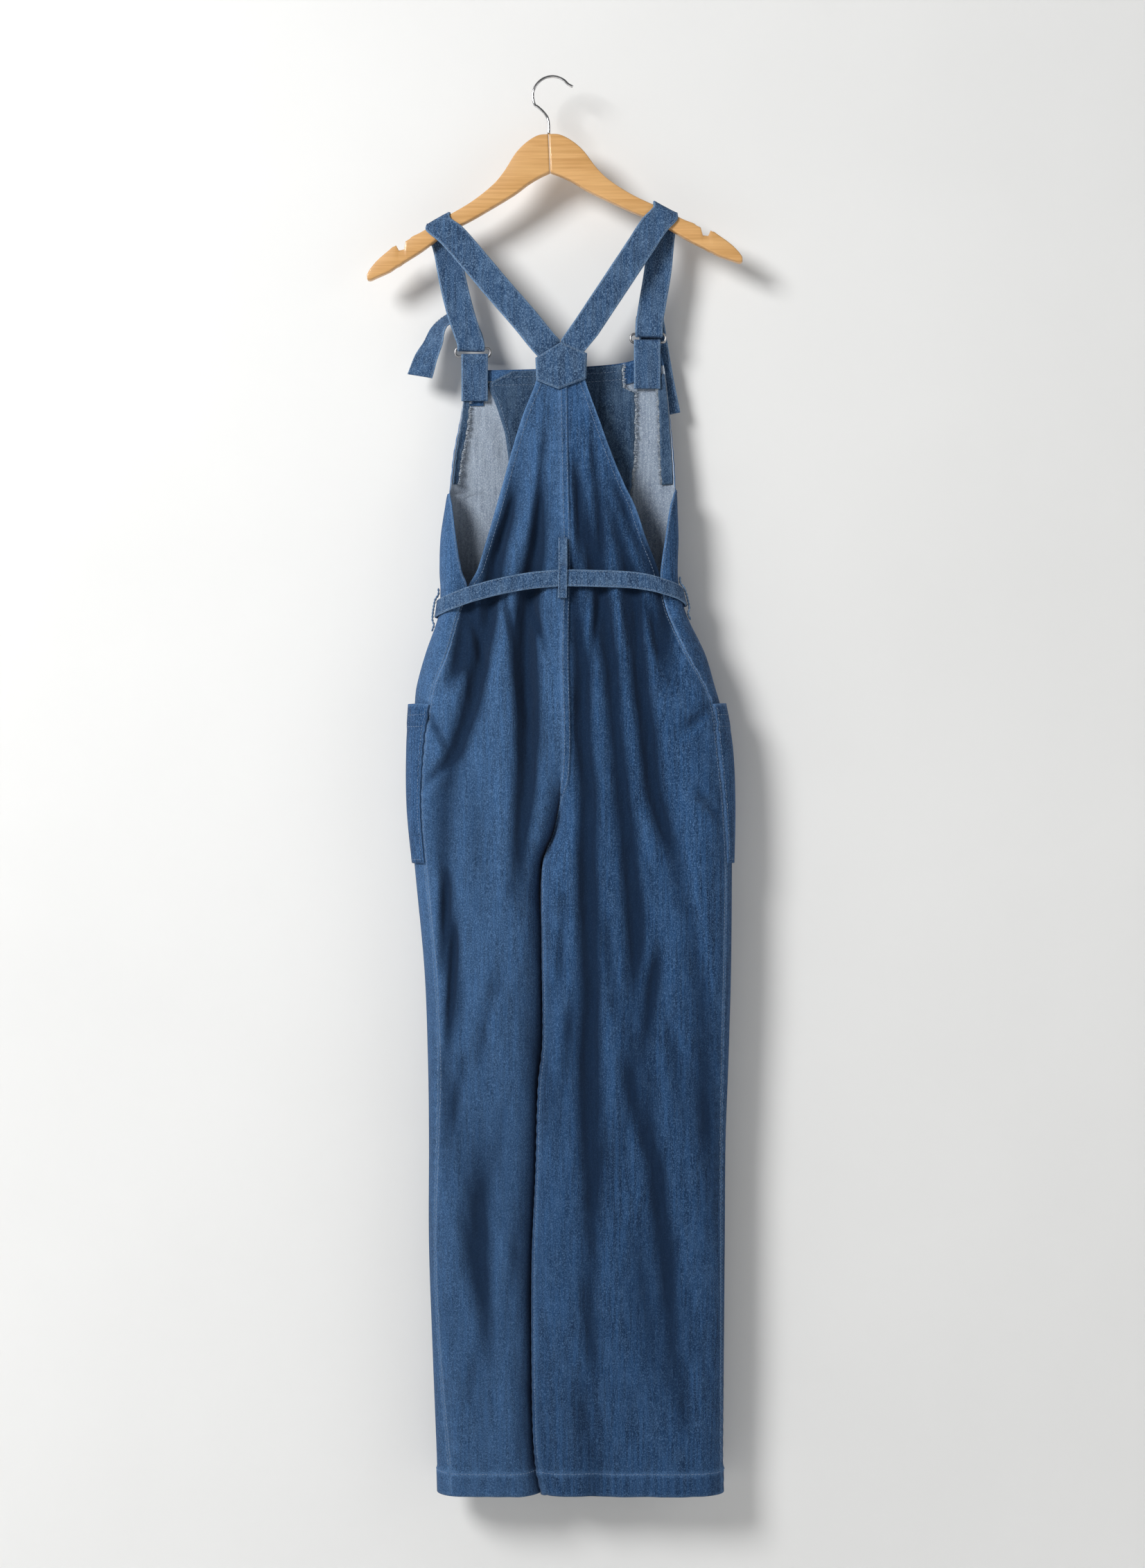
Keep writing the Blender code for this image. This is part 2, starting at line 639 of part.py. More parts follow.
def tube_sections(path, radius, sides, closed=False):
    """Round sections along a path of (x, z) points in a plane of constant y."""
    sections = []
    count = len(path)
    for i, (x, y, z) in enumerate(path):
        before = path[(i - 1) % count] if closed else path[max(i - 1, 0)]
        after = path[(i + 1) % count] if closed else path[min(i + 1, count - 1)]
        along = unit(np.array(after) - np.array(before))
        normal = np.cross(along, (0.0, 1.0, 0.0))
        ring = []
        for k in range(sides):
            angle = 2 * math.pi * k / sides
            offset = normal * math.cos(angle) + np.array((0.0, 1.0, 0.0)) * math.sin(angle)
            ring.append(np.array((x, y, z)) + offset * radius)
        sections.append(ring)
    return sections


def build_rings():
    steel = material("ring_metal", (0.55, 0.55, 0.55), 0.3, 1.0)
    half_x = RING_WIDTH / 2 - RING_WIRE / 2 - RING_CORNER
    half_z = RING_HEIGHT / 2 - RING_WIRE / 2 - RING_CORNER
    for side in (-1, 1):
        for number, shift in ((1, -RING_PAIR / 2), (2, RING_PAIR / 2)):
            path = []
            for turn in range(4):
                corner_x = half_x * (1, -1, -1, 1)[turn]
                corner_z = half_z * (1, 1, -1, -1)[turn]
                for step in range(4):
                    angle = math.radians(90 * turn + 30 * step)
                    path.append((RING_X[side] + corner_x + RING_CORNER * math.cos(angle), RING_Y + shift,
                                 RING_Z[side] + corner_z + RING_CORNER * math.sin(angle)))
            name = "ring_" + word(side) + "_" + str(number)
            add_sections(name, tube_sections(path, RING_WIRE / 2, 6, True), True, steel)


def belt_height(side, q, x):
    if q < 0:
        return smooth_value([row[0] for row in BELT_BACK], [row[1] for row in BELT_BACK], x)
    first, last = BELT_BACK[0], BELT_BACK[-1]
    return first[1] + (last[1] - first[1]) * (x - first[0]) / (last[0] - first[0])


def smooth_cloth(side, q, z, lift):
    """Point over the folds, moved out from the unfolded surface, and its normal."""
    point = cloth_point(side, q, z, False)
    step = 0.01
    low, high = max(q - step, -1.0), min(q + step, 1.0)
    across = cloth_point(side, high, z, False) - cloth_point(side, low, z, False)
    normal = unit(np.cross(across, (0.0, 0.0, 1.0)) * side)
    return point + normal * lift, normal


def build_belt():
    turns = [(-1, -1 + 2 * step / BELT_STEPS) for step in range(BELT_STEPS)]
    turns += [(1, 1 - 2 * step / BELT_STEPS) for step in range(BELT_STEPS)]
    rows = []
    for side, q in turns:
        z = BELT_BACK[0][1]
        for _ in range(3):
            z = belt_height(side, q, cloth_point(side, q, z, False)[0])
        middle, _ = smooth_cloth(side, q, z, BELT_LIFT + BELT_THICK / 2)
        rise = cloth_point(side, q, z + 6, False) - cloth_point(side, q, z - 6, False)
        rows.append((*middle, *rise))
    add_sections("belt", ribbon_sections(rows, BELT_WIDTH, BELT_THICK, True), True, denim())


def build_belt_loops():
    low = LAY_GAP + LOOP_WALL / 2 + 0.8
    high = BELT_LIFT + BELT_THICK + LOOP_WALL / 2 + 0.5
    clear = BELT_WIDTH / 2 + 1.5
    for name, side, width in (("left", -1, SIDE_LOOP_WIDTH), ("right", 1, SIDE_LOOP_WIDTH),
                              ("back", 1, BACK_LOOP_WIDTH)):
        if name == "back":
            q = -0.995
            centre = belt_height(side, q, BACK_LOOP_X)
            top, end = BACK_LOOP_TOP, BACK_LOOP_END
            across = (1, 0, 0)
        else:
            q = 0.0
            centre = BELT_BACK[0 if side < 0 else -1][1]
            top, end = centre + SIDE_LOOP_REACH, centre - SIDE_LOOP_REACH
            across = (0, 1, 0)
        profile = [(top, low), (centre + clear + 6, low), (centre + clear, high), (centre - clear, high),
                   (centre - clear - 6, low), (end, low)]
        rows = [(*smooth_cloth(side, q, z, lift)[0], *across) for z, lift in profile]
        add_sections("belt_loop_" + name, ribbon_sections(rows, width, LOOP_WALL), False, denim())


def build_hanger():
    wood = material("wood", (0.6, 0.33, 0.12), 0.45)
    chrome = material("chrome", (0.7, 0.7, 0.7), 0.15, 1.0)
    half = HANGER_THICK / 2
    cos_tilt, sin_tilt = math.cos(HANGER_TILT), math.sin(HANGER_TILT)
    for side in (-1, 1):
        sections = []
        for distance, top, bottom in ARM:
            bevel = min(ARM_BEVEL, (top - bottom) / 3)
            corners = [(-half, top - bevel), (-half + bevel, top), (half - bevel, top), (half, top - bevel),
                       (half, bottom + bevel), (half - bevel, bottom), (-half + bevel, bottom),
                       (-half, bottom + bevel)]
            x = HANGER_MIDDLE + side * distance
            sections.append([np.array((x * cos_tilt - z * sin_tilt + HANGER_SHIFT, y, z * cos_tilt + x * sin_tilt))
                             for y, z in corners])
        add_sections("hanger_arm_" + word(side), sections, False, wood)
    centre = HOOK_RADIUS - HOOK_BOW
    path = list(HOOK_TIP)
    for degrees in range(50, 211, 16):
        angle = math.radians(degrees)
        path.append((HOOK_BOW * math.cos(angle), centre + HOOK_BOW * math.sin(angle)))
    path = [(x, 0.0, z) for x, z in path + HOOK_STEM]
    add_sections("hanger_hook", tube_sections(path, HOOK_RADIUS, 8), False, chrome)


def clear_scene():
    for item in list(bpy.data.objects):
        bpy.data.objects.remove(item, do_unlink=True)


clear_scene()
build_panels()
build_bib_inside()
build_pockets()
build_straps()
build_yoke_patch()
build_tabs()
build_rings()
build_belt()
build_belt_loops()
build_hanger()
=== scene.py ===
# Looks of the denim overalls on their wooden hanger: fine cloth, stitching, finishes, stage and camera.
# The tables are in millimetres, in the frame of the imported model; the cloth's form follows its solids.

import bpy
import math
import random
import numpy as np
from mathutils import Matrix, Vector


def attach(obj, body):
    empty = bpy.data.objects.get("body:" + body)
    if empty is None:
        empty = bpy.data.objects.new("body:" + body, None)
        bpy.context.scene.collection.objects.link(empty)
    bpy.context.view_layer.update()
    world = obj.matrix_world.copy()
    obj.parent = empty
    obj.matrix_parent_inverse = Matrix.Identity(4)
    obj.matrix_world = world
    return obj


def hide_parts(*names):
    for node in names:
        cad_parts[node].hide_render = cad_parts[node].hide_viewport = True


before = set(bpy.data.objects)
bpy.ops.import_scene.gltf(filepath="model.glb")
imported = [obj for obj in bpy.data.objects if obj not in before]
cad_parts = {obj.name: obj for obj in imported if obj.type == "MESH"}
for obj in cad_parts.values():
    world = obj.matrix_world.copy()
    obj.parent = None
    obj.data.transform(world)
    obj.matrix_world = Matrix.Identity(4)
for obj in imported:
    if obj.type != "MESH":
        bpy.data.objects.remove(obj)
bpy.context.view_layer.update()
MM = 0.001

# Walls and gaps
WALL = 1.4
STRAP_WIDTH = 31.0
STRAP_THICK = 2.2
BELT_WIDTH = 19.0
BELT_THICK = 2.6
RING_WIRE = 2.4
HANGER_THICK = 12.0
HANGER_TILT = math.radians(2.7)

# Heights of the main levels
YOKE_Z = -338.0
BIB_Z = -325.0
HEM_Z = -1590.0
SPLIT_Z = -775.0
CROTCH_Z = -849.0
TIPS_APART_Z = -915.0
TIPS_CROSS_Z = -965.0

# The garment's outline seen from the back: silhouette, front panels' edges and back panels' edges.
# Below the waist both edges run together as the side seam.
OUTLINE_COLUMNS = ("z", "left_out", "left_front", "left_back", "right_back", "right_front", "right_out")
OUTLINE = [
    (-325, -98, -98, -13, 32, 125, 125),
    (-346, -101, -101, -19, 38, 129, 129),
    (-382, -106, -106, -33, 51, 134, 134),
    (-421, -113, -113, -45, 65, 138, 138),
    (-458, -117, -117, -55, 80, 140, 140),
    (-483, -121, -113, -62, 92, 133, 141),
    (-518, -126, -108, -72, 104, 127, 142),
    (-557, -127, -101, -84, 119, 121, 141),
    (-576, -126, -95, -95, 122, 122, 143),
    (-605, -128, -105, -105, 129, 129, 151),
    (-649, -143, -117, -117, 149, 149, 172),
    (-686, -153, -132, -132, 170, 170, 183),
    (-707, -155, -136, -136, 178, 178, 189),
    (-757, -159, -143, -143, 184, 184, 198),
    (-821, -160, -146, -146, 191, 191, 202),
    (-887, -155, -141, -141, 194, 194, 202),
    (-1005, -144, -130, -130, 192, 192, 201),
    (-1111, -140, -126, -126, 190, 190, 198),
    (-1193, -139, -128, -128, 189, 189, 195),
    (-1310, -139, -131, -131, 189, 189, 194),
    (-1429, -135, -126, -126, 189, 189, 193),
    (-1555, -130, -115, -115, 189, 189, 192),
    (-1590, -129, -113, -113, 189, 189, 192),
]

# Centre back seam, which becomes the right leg's inner edge below the crotch
INNER_COLUMNS = ("z", "x")
INNER = [
    (-325, 8), (-458, 10), (-540, 12), (-650, 10), (-740, 12), (-778, 11), (-817, 8), (-849, 2),
    (-884, -10), (-973, -11), (-1083, -10), (-1133, -15), (-1236, -18), (-1328, -22), (-1459, -22),
    (-1548, -19), (-1590, -11),
]

# Depth of the back and the front, of the silhouette between them, and length of its rounding
DEPTH_COLUMNS = ("z", "back", "side", "front", "round")
DEPTH = [
    (-325, -12.5, 17, 18, 28),
    (-370, -14, 15.5, 19.5, 28),
    (-410, -16, 10, 21.5, 30),
    (-458, -19, 4, 24, 34),
    (-520, -25, 0, 26, 36),
    (-576, -29, -2, 27, 36),
    (-649, -35, 0, 31, 40),
    (-720, -39, 0, 35, 42),
    (-800, -38, 0, 34, 42),
    (-900, -34, 0, 30, 38),
    (-1110, -31, 0, 28, 36),
    (-1400, -28, 0, 26, 34),
    (-1590, -26, 0, 24, 32),
]

# Largest folds of back and front: rows of height, place across and depth, from top to bottom
FOLD_WIDTH = 12.0
BACK_FOLDS = [
    [(-500, -100, 0), (-550, -99, 5), (-599, -96, 8), (-661, -105, 8), (-700, -121, 0)],
    [(-380, -30, 0), (-440, -36, 3), (-490, -46, 6), (-537, -61, 8), (-599, -70, 10), (-661, -81, 10),
     (-732, -97, 8), (-790, -116, 5), (-888, -118, 4), (-1005, -110, 4), (-1161, -118, 3), (-1300, -122, 0)],
    [(-440, -8, 0), (-490, -14, 5), (-550, -21, 10), (-599, -27, 12), (-661, -30, 13), (-732, -28, 13),
     (-800, -29, 11), (-880, -38, 6), (-960, -44, 0)],
    [(-490, 12, 0), (-537, 19, 4), (-599, 26, 6), (-661, 34, 8), (-732, 33, 9), (-810, 40, 9), (-888, 39, 8),
     (-1005, 44, 7), (-1161, 41, 6), (-1320, 45, 4), (-1440, 42, 2), (-1530, 30, 0)],
    [(-420, 25, 0), (-490, 36, 5), (-537, 45, 7), (-599, 57, 8), (-661, 65, 9), (-732, 72, 8), (-810, 81, 7),
     (-888, 88, 6), (-1005, 93, 5), (-1161, 86, 4), (-1260, 82, 0)],
    [(-450, 62, 0), (-490, 71, 4), (-537, 81, 6), (-599, 93, 9), (-661, 96, 9), (-732, 105, 9),
     (-810, 114, 8), (-888, 140, 4), (-1005, 162, 3), (-1161, 170, 3), (-1230, 172, 0)],
    [(-500, 104, 0), (-537, 111, 5), (-599, 127, 7), (-661, 128, 4), (-700, 132, 0)],
    [(-1050, 118, 0), (-1161, 106, 4), (-1240, 118, 5), (-1340, 128, 4), (-1460, 140, 3), (-1540, 150, 0)],
    [(-1150, -70, 0), (-1310, -80, 4), (-1430, -70, 3), (-1540, -62, 0)],
]
FRONT_FOLDS = [
    [(-500, -88, 0), (-599, -84, 9), (-661, -88, 9), (-760, -100, 6), (-900, -104, 0)],
    [(-470, -40, 0), (-599, -48, 10), (-700, -52, 10), (-850, -60, 8), (-1050, -66, 5), (-1250, -72, 0)],
    [(-520, 4, 0), (-599, -4, 7), (-680, -12, 7), (-740, -14, 0)],
    [(-470, 48, 0), (-599, 56, 10), (-700, 64, 10), (-850, 74, 8), (-1050, 84, 5), (-1300, 88, 0)],
    [(-500, 98, 0), (-599, 104, 9), (-661, 112, 8), (-760, 126, 6), (-900, 140, 0)],
]

# Top edge of the bib: it stands higher at the wearer's right
BIB_TOP = [(-110, -327), (-20, -325), (40, -322), (80, -318), (105, -311), (135, -306)]
BIB_LEVEL_Z = -420.0

# A free edge's distance from the silhouette, and the gap between sewn pieces
FREE_EDGE = 1.5
SEAM_GAP = 0.3

# Cut of the smaller pieces laid flat: a strip's length, or length and width
STRAP_FLAT = {-1: 490, 1: 493}
TAB_FLAT = 110
BELT_FLAT = 640
LOOP_FLAT = {"left": 50, "right": 50, "back": 72}
LOOP_CUT_WIDTH = 10

# What lies on a panel: the gap under it and its thickness
LAY_GAP = 0.4
LAY_THICK = 1.2

# Strips: how much thinner the middle is, distance of rows, and of stitches from the border
STRIP_BEAD = 0.12
STRAP_PITCH = 3.2
STRIP_PITCH = 2.0
STRAP_INSET = 2.0
BELT_INSET = 1.8
LOOP_INSET = 1.2

# Facing inside the bib: left and right edge at each height
FACING = [(-327, -46, 79), (-341, -74, 79), (-352, -70, 79), (-358, -67, 93), (-368, -63, 93),
          (-397, -54, 93), (-427, -50, 92), (-457, -50, 89), (-486, -50, 86)]

# Narrow facings along the bib's outer edges: their raw edge at each height
ARMHOLE_FACINGS = {-1: [(-340, -92), (-396, -98), (-425, -105), (-460, -110)],
                   1: [(-340, 119), (-396, 122), (-425, 123), (-460, 126)]}
ARMHOLE_FACING_TOP = -338.0
ARMHOLE_FACING_END = -459.0
ARMHOLE_FACING_DROP = 0.9
ARMHOLE_FACING_LEAST = 3.0
ARMHOLE_FACING_STEPS = 6

# Tab patches on the bib's inside: first x, last x, top, bottom
TAB_PATCHES = {-1: (-94, -78, -327, -366), 1: (80.2, 123, -327, -349)}

# Patch pockets on the front, sewn into the side seams
POCKET_TOP = -705.0
POCKET_BOTTOM = -887.0
POCKET_HEIGHT = POCKET_TOP - POCKET_BOTTOM
POCKET_GAPE = 5.0
POCKET_GAP = 1.6
POCKET_SHARE = 7 / 13

# Six-sided yoke patch, seen from the back, and its depth
YOKE = [(10, -300), (-19, -318), (-18, -343), (7, -353), (38, -341), (39, -313)]
YOKE_Y = (-15.7, -17.1)
YOKE_RINGS = 7

# Rings: middle of the pair, outer size and distance between the two
RING_X = {-1: -90.0, 1: 108.0}
RING_Y = 12.4
RING_Z = {-1: -307.0, 1: -291.0}
RING_WIDTH = 42.0
RING_HEIGHT = 12.0
RING_PAIR = 3.0
RING_CORNER = 4.0

# Tabs: middle, width, wall and lower end
TAB_X = {-1: -88.0, 1: 107.0}
TAB_WIDTH = 30.0
TAB_WALL = 1.4
TAB_END = {-1: -362.0, 1: -348.0}

# Strap routes at the middle of their thickness: x, y, z and the direction of the width.
# First the back from the yoke to the hanger, then the front down to the rings, the loose ends,
# the place of the bend over the hanger, and the slanting end under the yoke patch.
STRAP_BACK = {
    -1: [(-8, -14.2, -303, 0.77, 0, 0.64), (-34, -13.7, -271, 0.77, 0, 0.64),
         (-61, -12.8, -240, 0.77, 0, 0.64), (-87, -11.6, -209, 0.77, 0, 0.64),
         (-113, -9.8, -179, 0.8, 0, 0.6)],
    1: [(36, -14.2, -287, 0.83, 0, -0.56), (67, -12.8, -240, 0.83, 0, -0.56), (98, -11, -193, 0.83, 0, -0.56),
        (115, -9.6, -167, 0.86, 0, -0.5)],
}
STRAP_FRONT = {
    -1: [(-120, 8.6, -188, 0.96, 0, 0.28), (-113, 9, -225, 0.97, 0, 0.24), (-104, 8.6, -262, 0.98, 0, 0.2),
         (-95, 8.3, -290, 1, 0, 0.05)],
    1: [(123, 8.6, -175, 0.98, 0, -0.2), (119, 9, -215, 0.99, 0, -0.12), (113, 8.6, -252, 1, 0, -0.1),
        (109.5, 8.3, -274, 1, 0, 0)],
}
STRAP_LOOSE = {
    -1: [(-94, 18, -288, 1, 0.15, 0), (-98, 21, -277, 0.8, 0.5, 0.3), (-106, 23, -269, 0.4, 0.75, 0.5),
         (-116, 23, -267, 0.1, 0.8, 0.6), (-126, 21, -274, -0.35, 0.8, 0.35),
         (-132, 18, -286, -0.6, 0.75, 0.25), (-137, 15, -300, -0.75, 0.6, 0.2),
         (-144, 12, -316, -0.85, 0.45, 0.3), (-150, 10, -334, -0.9, 0.3, 0.2)],
    1: [(109.5, 17, -272, 1, 0, 0), (110, 19, -265, 1, 0, 0.1), (110.5, 22.5, -263, 1, 0, 0.12),
        (111, 25, -268, 1, 0, 0.15), (114, 26.5, -288, 0.98, 0, 0.2), (121, 26.5, -330, 0.98, 0, 0.2),
        (130, 25, -376, 0.98, 0, 0.2)],
}
STRAP_TOP = {-1: (-128.5, -161.3, 0.88, 0.48), 1: (127.0, -149.0, 0.89, -0.45)}
MITRE_X = {-1: 8.6, 1: 9.6}
MITRE_Z = -320.0
MITRE_HALF = 22.5

# Belt: height of its middle at each x of the back; the front runs straight between the ends
BELT_BACK = [(-130, -599), (-115, -593), (-85, -582), (-39, -571), (4, -566), (41, -566), (98, -569),
             (136, -579), (148, -586)]
BELT_LIFT = 2.0
BELT_STEPS = 90
LOOP_WALL = 1.2
BACK_LOOP_X = 11.0
BACK_LOOP_TOP = -520.0
BACK_LOOP_END = -588.0
BACK_LOOP_WIDTH = 10.0
SIDE_LOOP_WIDTH = 7.0
SIDE_LOOP_REACH = 24.0

# Hanger arm: distance from its middle joint, top and underside, before the hanger's tilt
HANGER_MIDDLE = -2.5
HANGER_SHIFT = -5.0
ARM = [(0.2, -64, -107), (12, -65, -112), (25, -72, -119), (38, -84, -128), (52, -104, -136), (65, -118, -143),
       (90, -136, -156), (120, -152, -170), (147, -167, -188), (166, -177, -199), (168, -186, -200),
       (174, -187, -204), (177, -181, -205), (185, -186, -210), (200, -198, -216), (208, -207, -219),
       (211, -212, -218)]
ARM_BEVEL = 2.6
ARM_NOTCH = (160, 180)

# Hook: wire and route in the x-z plane, its bow as an arc about its centre
HOOK_RADIUS = 1.6
HOOK_BOW = 22.0
HOOK_TIP = [(23, -10), (17.5, -7)]
HOOK_STEM = [(-17.2, -32), (-10, -38.5), (-5.5, -45), (-4, -53), (-3.9, -63.4)]

# Small creases of back and front: start x, start z, end x, end z, depth, half-width
BACK_CREASES = [
    (-118, -905, -122, -1010, 2.6, 7), (-108, -960, -116, -1075, 2.2, 6), (-96, -1090, -112, -1180, 2.4, 8),
    (-60, -1010, -84, -1110, 1.8, 9), (-44, -1120, -66, -1230, 1.6, 8), (-100, -1270, -88, -1360, 1.7, 8),
    (-76, -1400, -96, -1490, 1.5, 9), (-40, -1300, -52, -1420, 1.4, 8),
    (14, -900, 8, -1010, 2.0, 7), (22, -1040, 10, -1150, 1.8, 8), (60, -950, 72, -1060, 1.8, 8),
    (118, -980, 104, -1090, 2.6, 9), (84, -1120, 102, -1205, 2.4, 8), (132, -1080, 150, -1190, 2.0, 8),
    (62, -1180, 44, -1260, 1.8, 8), (150, -1230, 136, -1330, 1.6, 8), (92, -1290, 110, -1400, 1.6, 9),
    (30, -1340, 46, -1450, 1.4, 8), (158, -1400, 146, -1500, 1.4, 8), (84, -1450, 96, -1540, 1.3, 8),
    (-20, -600, -8, -640, 1.8, 5), (52, -590, 46, -640, 1.8, 5), (-88, -610, -76, -660, 2.0, 6),
    (110, -600, 118, -650, 2.0, 6), (-52, -590, -44, -630, 1.8, 5), (80, -585, 84, -625, 1.6, 5),
    (-136, -720, -120, -750, 2.2, 6), (-138, -790, -118, -770, 2.0, 6), (150, -730, 172, -712, 2.2, 7),
    (160, -800, 182, -830, 1.8, 7), (-6, -400, -20, -535, 1.7, 6), (26, -430, 31, -535, 1.4, 5),
    (-44, -470, -62, -540, 1.7, 6), (46, -410, 57, -535, 1.7, 6), (72, -460, 100, -540, 1.7, 6),
]
FRONT_CREASES = [
    (-100, -900, -92, -1000, 2.2, 8), (-60, -1020, -78, -1120, 2.0, 8), (-96, -1180, -82, -1270, 1.8, 8),
    (-50, -1330, -64, -1430, 1.5, 9), (40, -930, 52, -1040, 2.0, 8), (110, -980, 124, -1080, 2.2, 8),
    (70, -1120, 52, -1210, 2.0, 8), (140, -1180, 128, -1290, 1.8, 8), (86, -1330, 102, -1430, 1.5, 9),
    (-70, -600, -62, -650, 2.0, 6), (30, -595, 36, -650, 2.0, 6), (84, -600, 92, -650, 2.0, 6),
    (-20, -380, -30, -450, 1.2, 8), (60, -370, 52, -440, 1.2, 8),
]

# Rows and columns of the fine cloth
FINE_ROWS = 300
FINE_COLUMNS = 72
MIDDLE_COLUMN = 30

# Relief of the fine cloth: bands and stitch lines of hem, seams and free edges, how much deeper
# folds and creases are than in the tables, and what sets the waviness of back and front apart
HEM_BAND = 27.0
HEM_RISE = 0.9
SEAM_BAND = 8.5
SEAM_RISE = 1.2
SEAM_STITCHES = 1.8
EDGE_BAND = 7.0
EDGE_STITCHES = 6.5
EDGE_RISE = 0.5
CREASE_STRENGTH = 2.4
EXTRA_FOLD_DEPTH = 0.35
BACK_SEED = 0.4
FRONT_SEED = 2.9

# Heights at which the panels' outer edges stop being free
FRONT_FREE_END_Z = -458
BACK_FREE_END_Z = -576

# Painted light and shade on the cloth: half-width of the back over which painted light pales it towards the
# left, and the fold depth at which the painted shade is darkest
PAINTED_LIGHT_REACH = 130.0
PAINTED_SHADE_FULL_DEPTH = 9.0


def smooth_value(knots, values, at):
    """Cubic interpolation through a table whose knots run in either direction."""
    if knots[0] > knots[-1]:
        knots = [-knot for knot in knots]
        at = -at
    if at <= knots[0]:
        return float(values[0])
    if at >= knots[-1]:
        return float(values[-1])
    slopes = []
    for i in range(len(knots)):
        low = max(i - 1, 0)
        high = min(i + 1, len(knots) - 1)
        slopes.append((values[high] - values[low]) / (knots[high] - knots[low]))
    i = int(np.searchsorted(knots, at)) - 1
    span = knots[i + 1] - knots[i]
    t = (at - knots[i]) / span
    start = (2 * t**3 - 3 * t**2 + 1) * values[i] + (t**3 - 2 * t**2 + t) * span * slopes[i]
    end = (-2 * t**3 + 3 * t**2) * values[i + 1] + (t**3 - t**2) * span * slopes[i + 1]
    return float(start + end)


def row_value(rows, column, at):
    """A column of a table at a value of its first column."""
    return smooth_value([row[0] for row in rows], [row[column] for row in rows], at)


def table_value(table, columns, name, z):
    return row_value(table, columns.index(name), z)


def outline(name, z):
    return table_value(OUTLINE, OUTLINE_COLUMNS, name, z)


def depth(name, z):
    return table_value(DEPTH, DEPTH_COLUMNS, name, z)


def ease(low, high, value):
    """0 at low, 1 at high, smooth between."""
    t = np.clip((value - low) / (high - low), 0.0, 1.0)
    return t * t * (3 - 2 * t)


def quarter_round(distance, length):
    """Rise of a quarter ellipse: 0 at the edge, 1 from the rounding's length inwards."""
    t = np.clip(distance / length, 0.0, 1.0)
    return np.sqrt(np.maximum(1 - (1 - t) ** 2, 0.0))


def word(side):
    return "left" if side < 0 else "right"


def inner_edge(side, z):
    """x of the centre seam, and below the crotch of a leg's inner edge."""
    x = table_value(INNER, INNER_COLUMNS, "x", z)
    if side < 0 and z < CROTCH_Z:
        x += 3.0 * ease(TIPS_APART_Z, TIPS_CROSS_Z, z) - 0.6 * ease(CROTCH_Z, CROTCH_Z - 15, z)
    return x


def fold_depth(folds, x, z):
    """How far the main folds push the cloth of one row inwards."""
    total = np.zeros_like(x)
    for rows in folds:
        if rows[-1][0] < z < rows[0][0]:
            centre = row_value(rows, 1, z)
            sink = max(row_value(rows, 2, z), 0.0)
            total += sink * np.exp(-(((x - centre) / FOLD_WIDTH) ** 2))
    return total


def crease_depth(creases, x, z):
    """Soft troughs along short lines, fading at their ends."""
    total = np.zeros_like(x)
    for x0, z0, x1, z1, sink, width in creases:
        if not z1 - 40 < z < z0 + 40:
            continue
        length = math.hypot(x1 - x0, z1 - z0)
        along = ((x - x0) * (x1 - x0) + (z - z0) * (z1 - z0)) / length
        aside = ((x - x0) * (z1 - z0) - (z - z0) * (x1 - x0)) / length
        fade = ease(-30, 25, along) * ease(length + 30, length - 25, along)
        trough = np.exp(-((aside / (0.8 * width)) ** 2))
        ridge = 0.5 * np.exp(-(((aside - 1.6 * width) / (0.9 * width)) ** 2))
        total += CREASE_STRENGTH * sink * fade * (trough - ridge)
    return total * (1 - 0.62 * float(ease(-960, -1180, z)))


def unevenness(x, z, seed):
    """Broad and fine waviness that no pressing takes out of washed cotton."""
    broad = np.sin(x / 23 + z / 61 + seed) + np.sin(x / 37 - z / 83 + 2.1 * seed)
    middle = np.sin(x / 9.5 + z / 71 + 1.3 * seed + np.sin(z / 57)) * np.sin(z / 64 + x / 90 + seed)
    fine = np.sin(x / 4.1 + z / 33 + 2 * np.sin(z / 29 + seed)) * np.sin(z / 23 + x / 31)
    strength = 1 - 0.9 * math.exp(-(((z + 572) / 26) ** 2))
    strength *= 0.12 + 0.88 * float(ease(BIB_Z, -420, z))
    return strength * (0.8 * broad + 1.25 * middle + 0.45 * fine)


def pucker(distance, z, pitch, reach):
    """Ripples beside a line of stitches."""
    wave = np.sin(2 * math.pi * z / pitch + 1.7 * np.sin(z / 41)) * (0.6 + 0.4 * np.sin(z / 67))
    return wave * np.exp(-((distance / reach) ** 2))


def cloth_row(side, q, z, folded=True, fine=False):
    """Points of one row of the outer cloth surface, q from -1, centre back, to 1, centre front."""
    out = outline(word(side) + "_out", z)
    inner = inner_edge(side, z)
    share = (1 - np.cos(math.pi * np.abs(q))) / 2
    x = out + (inner - out) * share
    rounding = depth("round", z)
    rise = quarter_round(np.abs(x - out), rounding)
    split = ease(SPLIT_Z, CROTCH_Z, z)
    shift = -side * 12.0 * ease(CROTCH_Z, TIPS_APART_Z, z)
    inside = depth("side", z) * (1 - share) + shift * share
    rise = rise * (1 - split + split * quarter_round(np.abs(x - inner), rounding))
    back = np.full_like(x, depth("back", z))
    front = np.full_like(x, depth("front", z))
    if folded:
        back = back + fold_depth(BACK_FOLDS, x, z)
        front = front - fold_depth(FRONT_FOLDS, x, z)
    if fine:
        back = back + EXTRA_FOLD_DEPTH * fold_depth(BACK_FOLDS, x, z)
        back = back + crease_depth(BACK_CREASES, x, z) + unevenness(x, z, BACK_SEED)
        front = front - crease_depth(FRONT_CREASES, x, z) - unevenness(x, z, FRONT_SEED)
    face = np.where(q < 0, back, front)
    return np.stack([x, inside + (face - inside) * rise, np.full_like(x, z)], axis=-1)


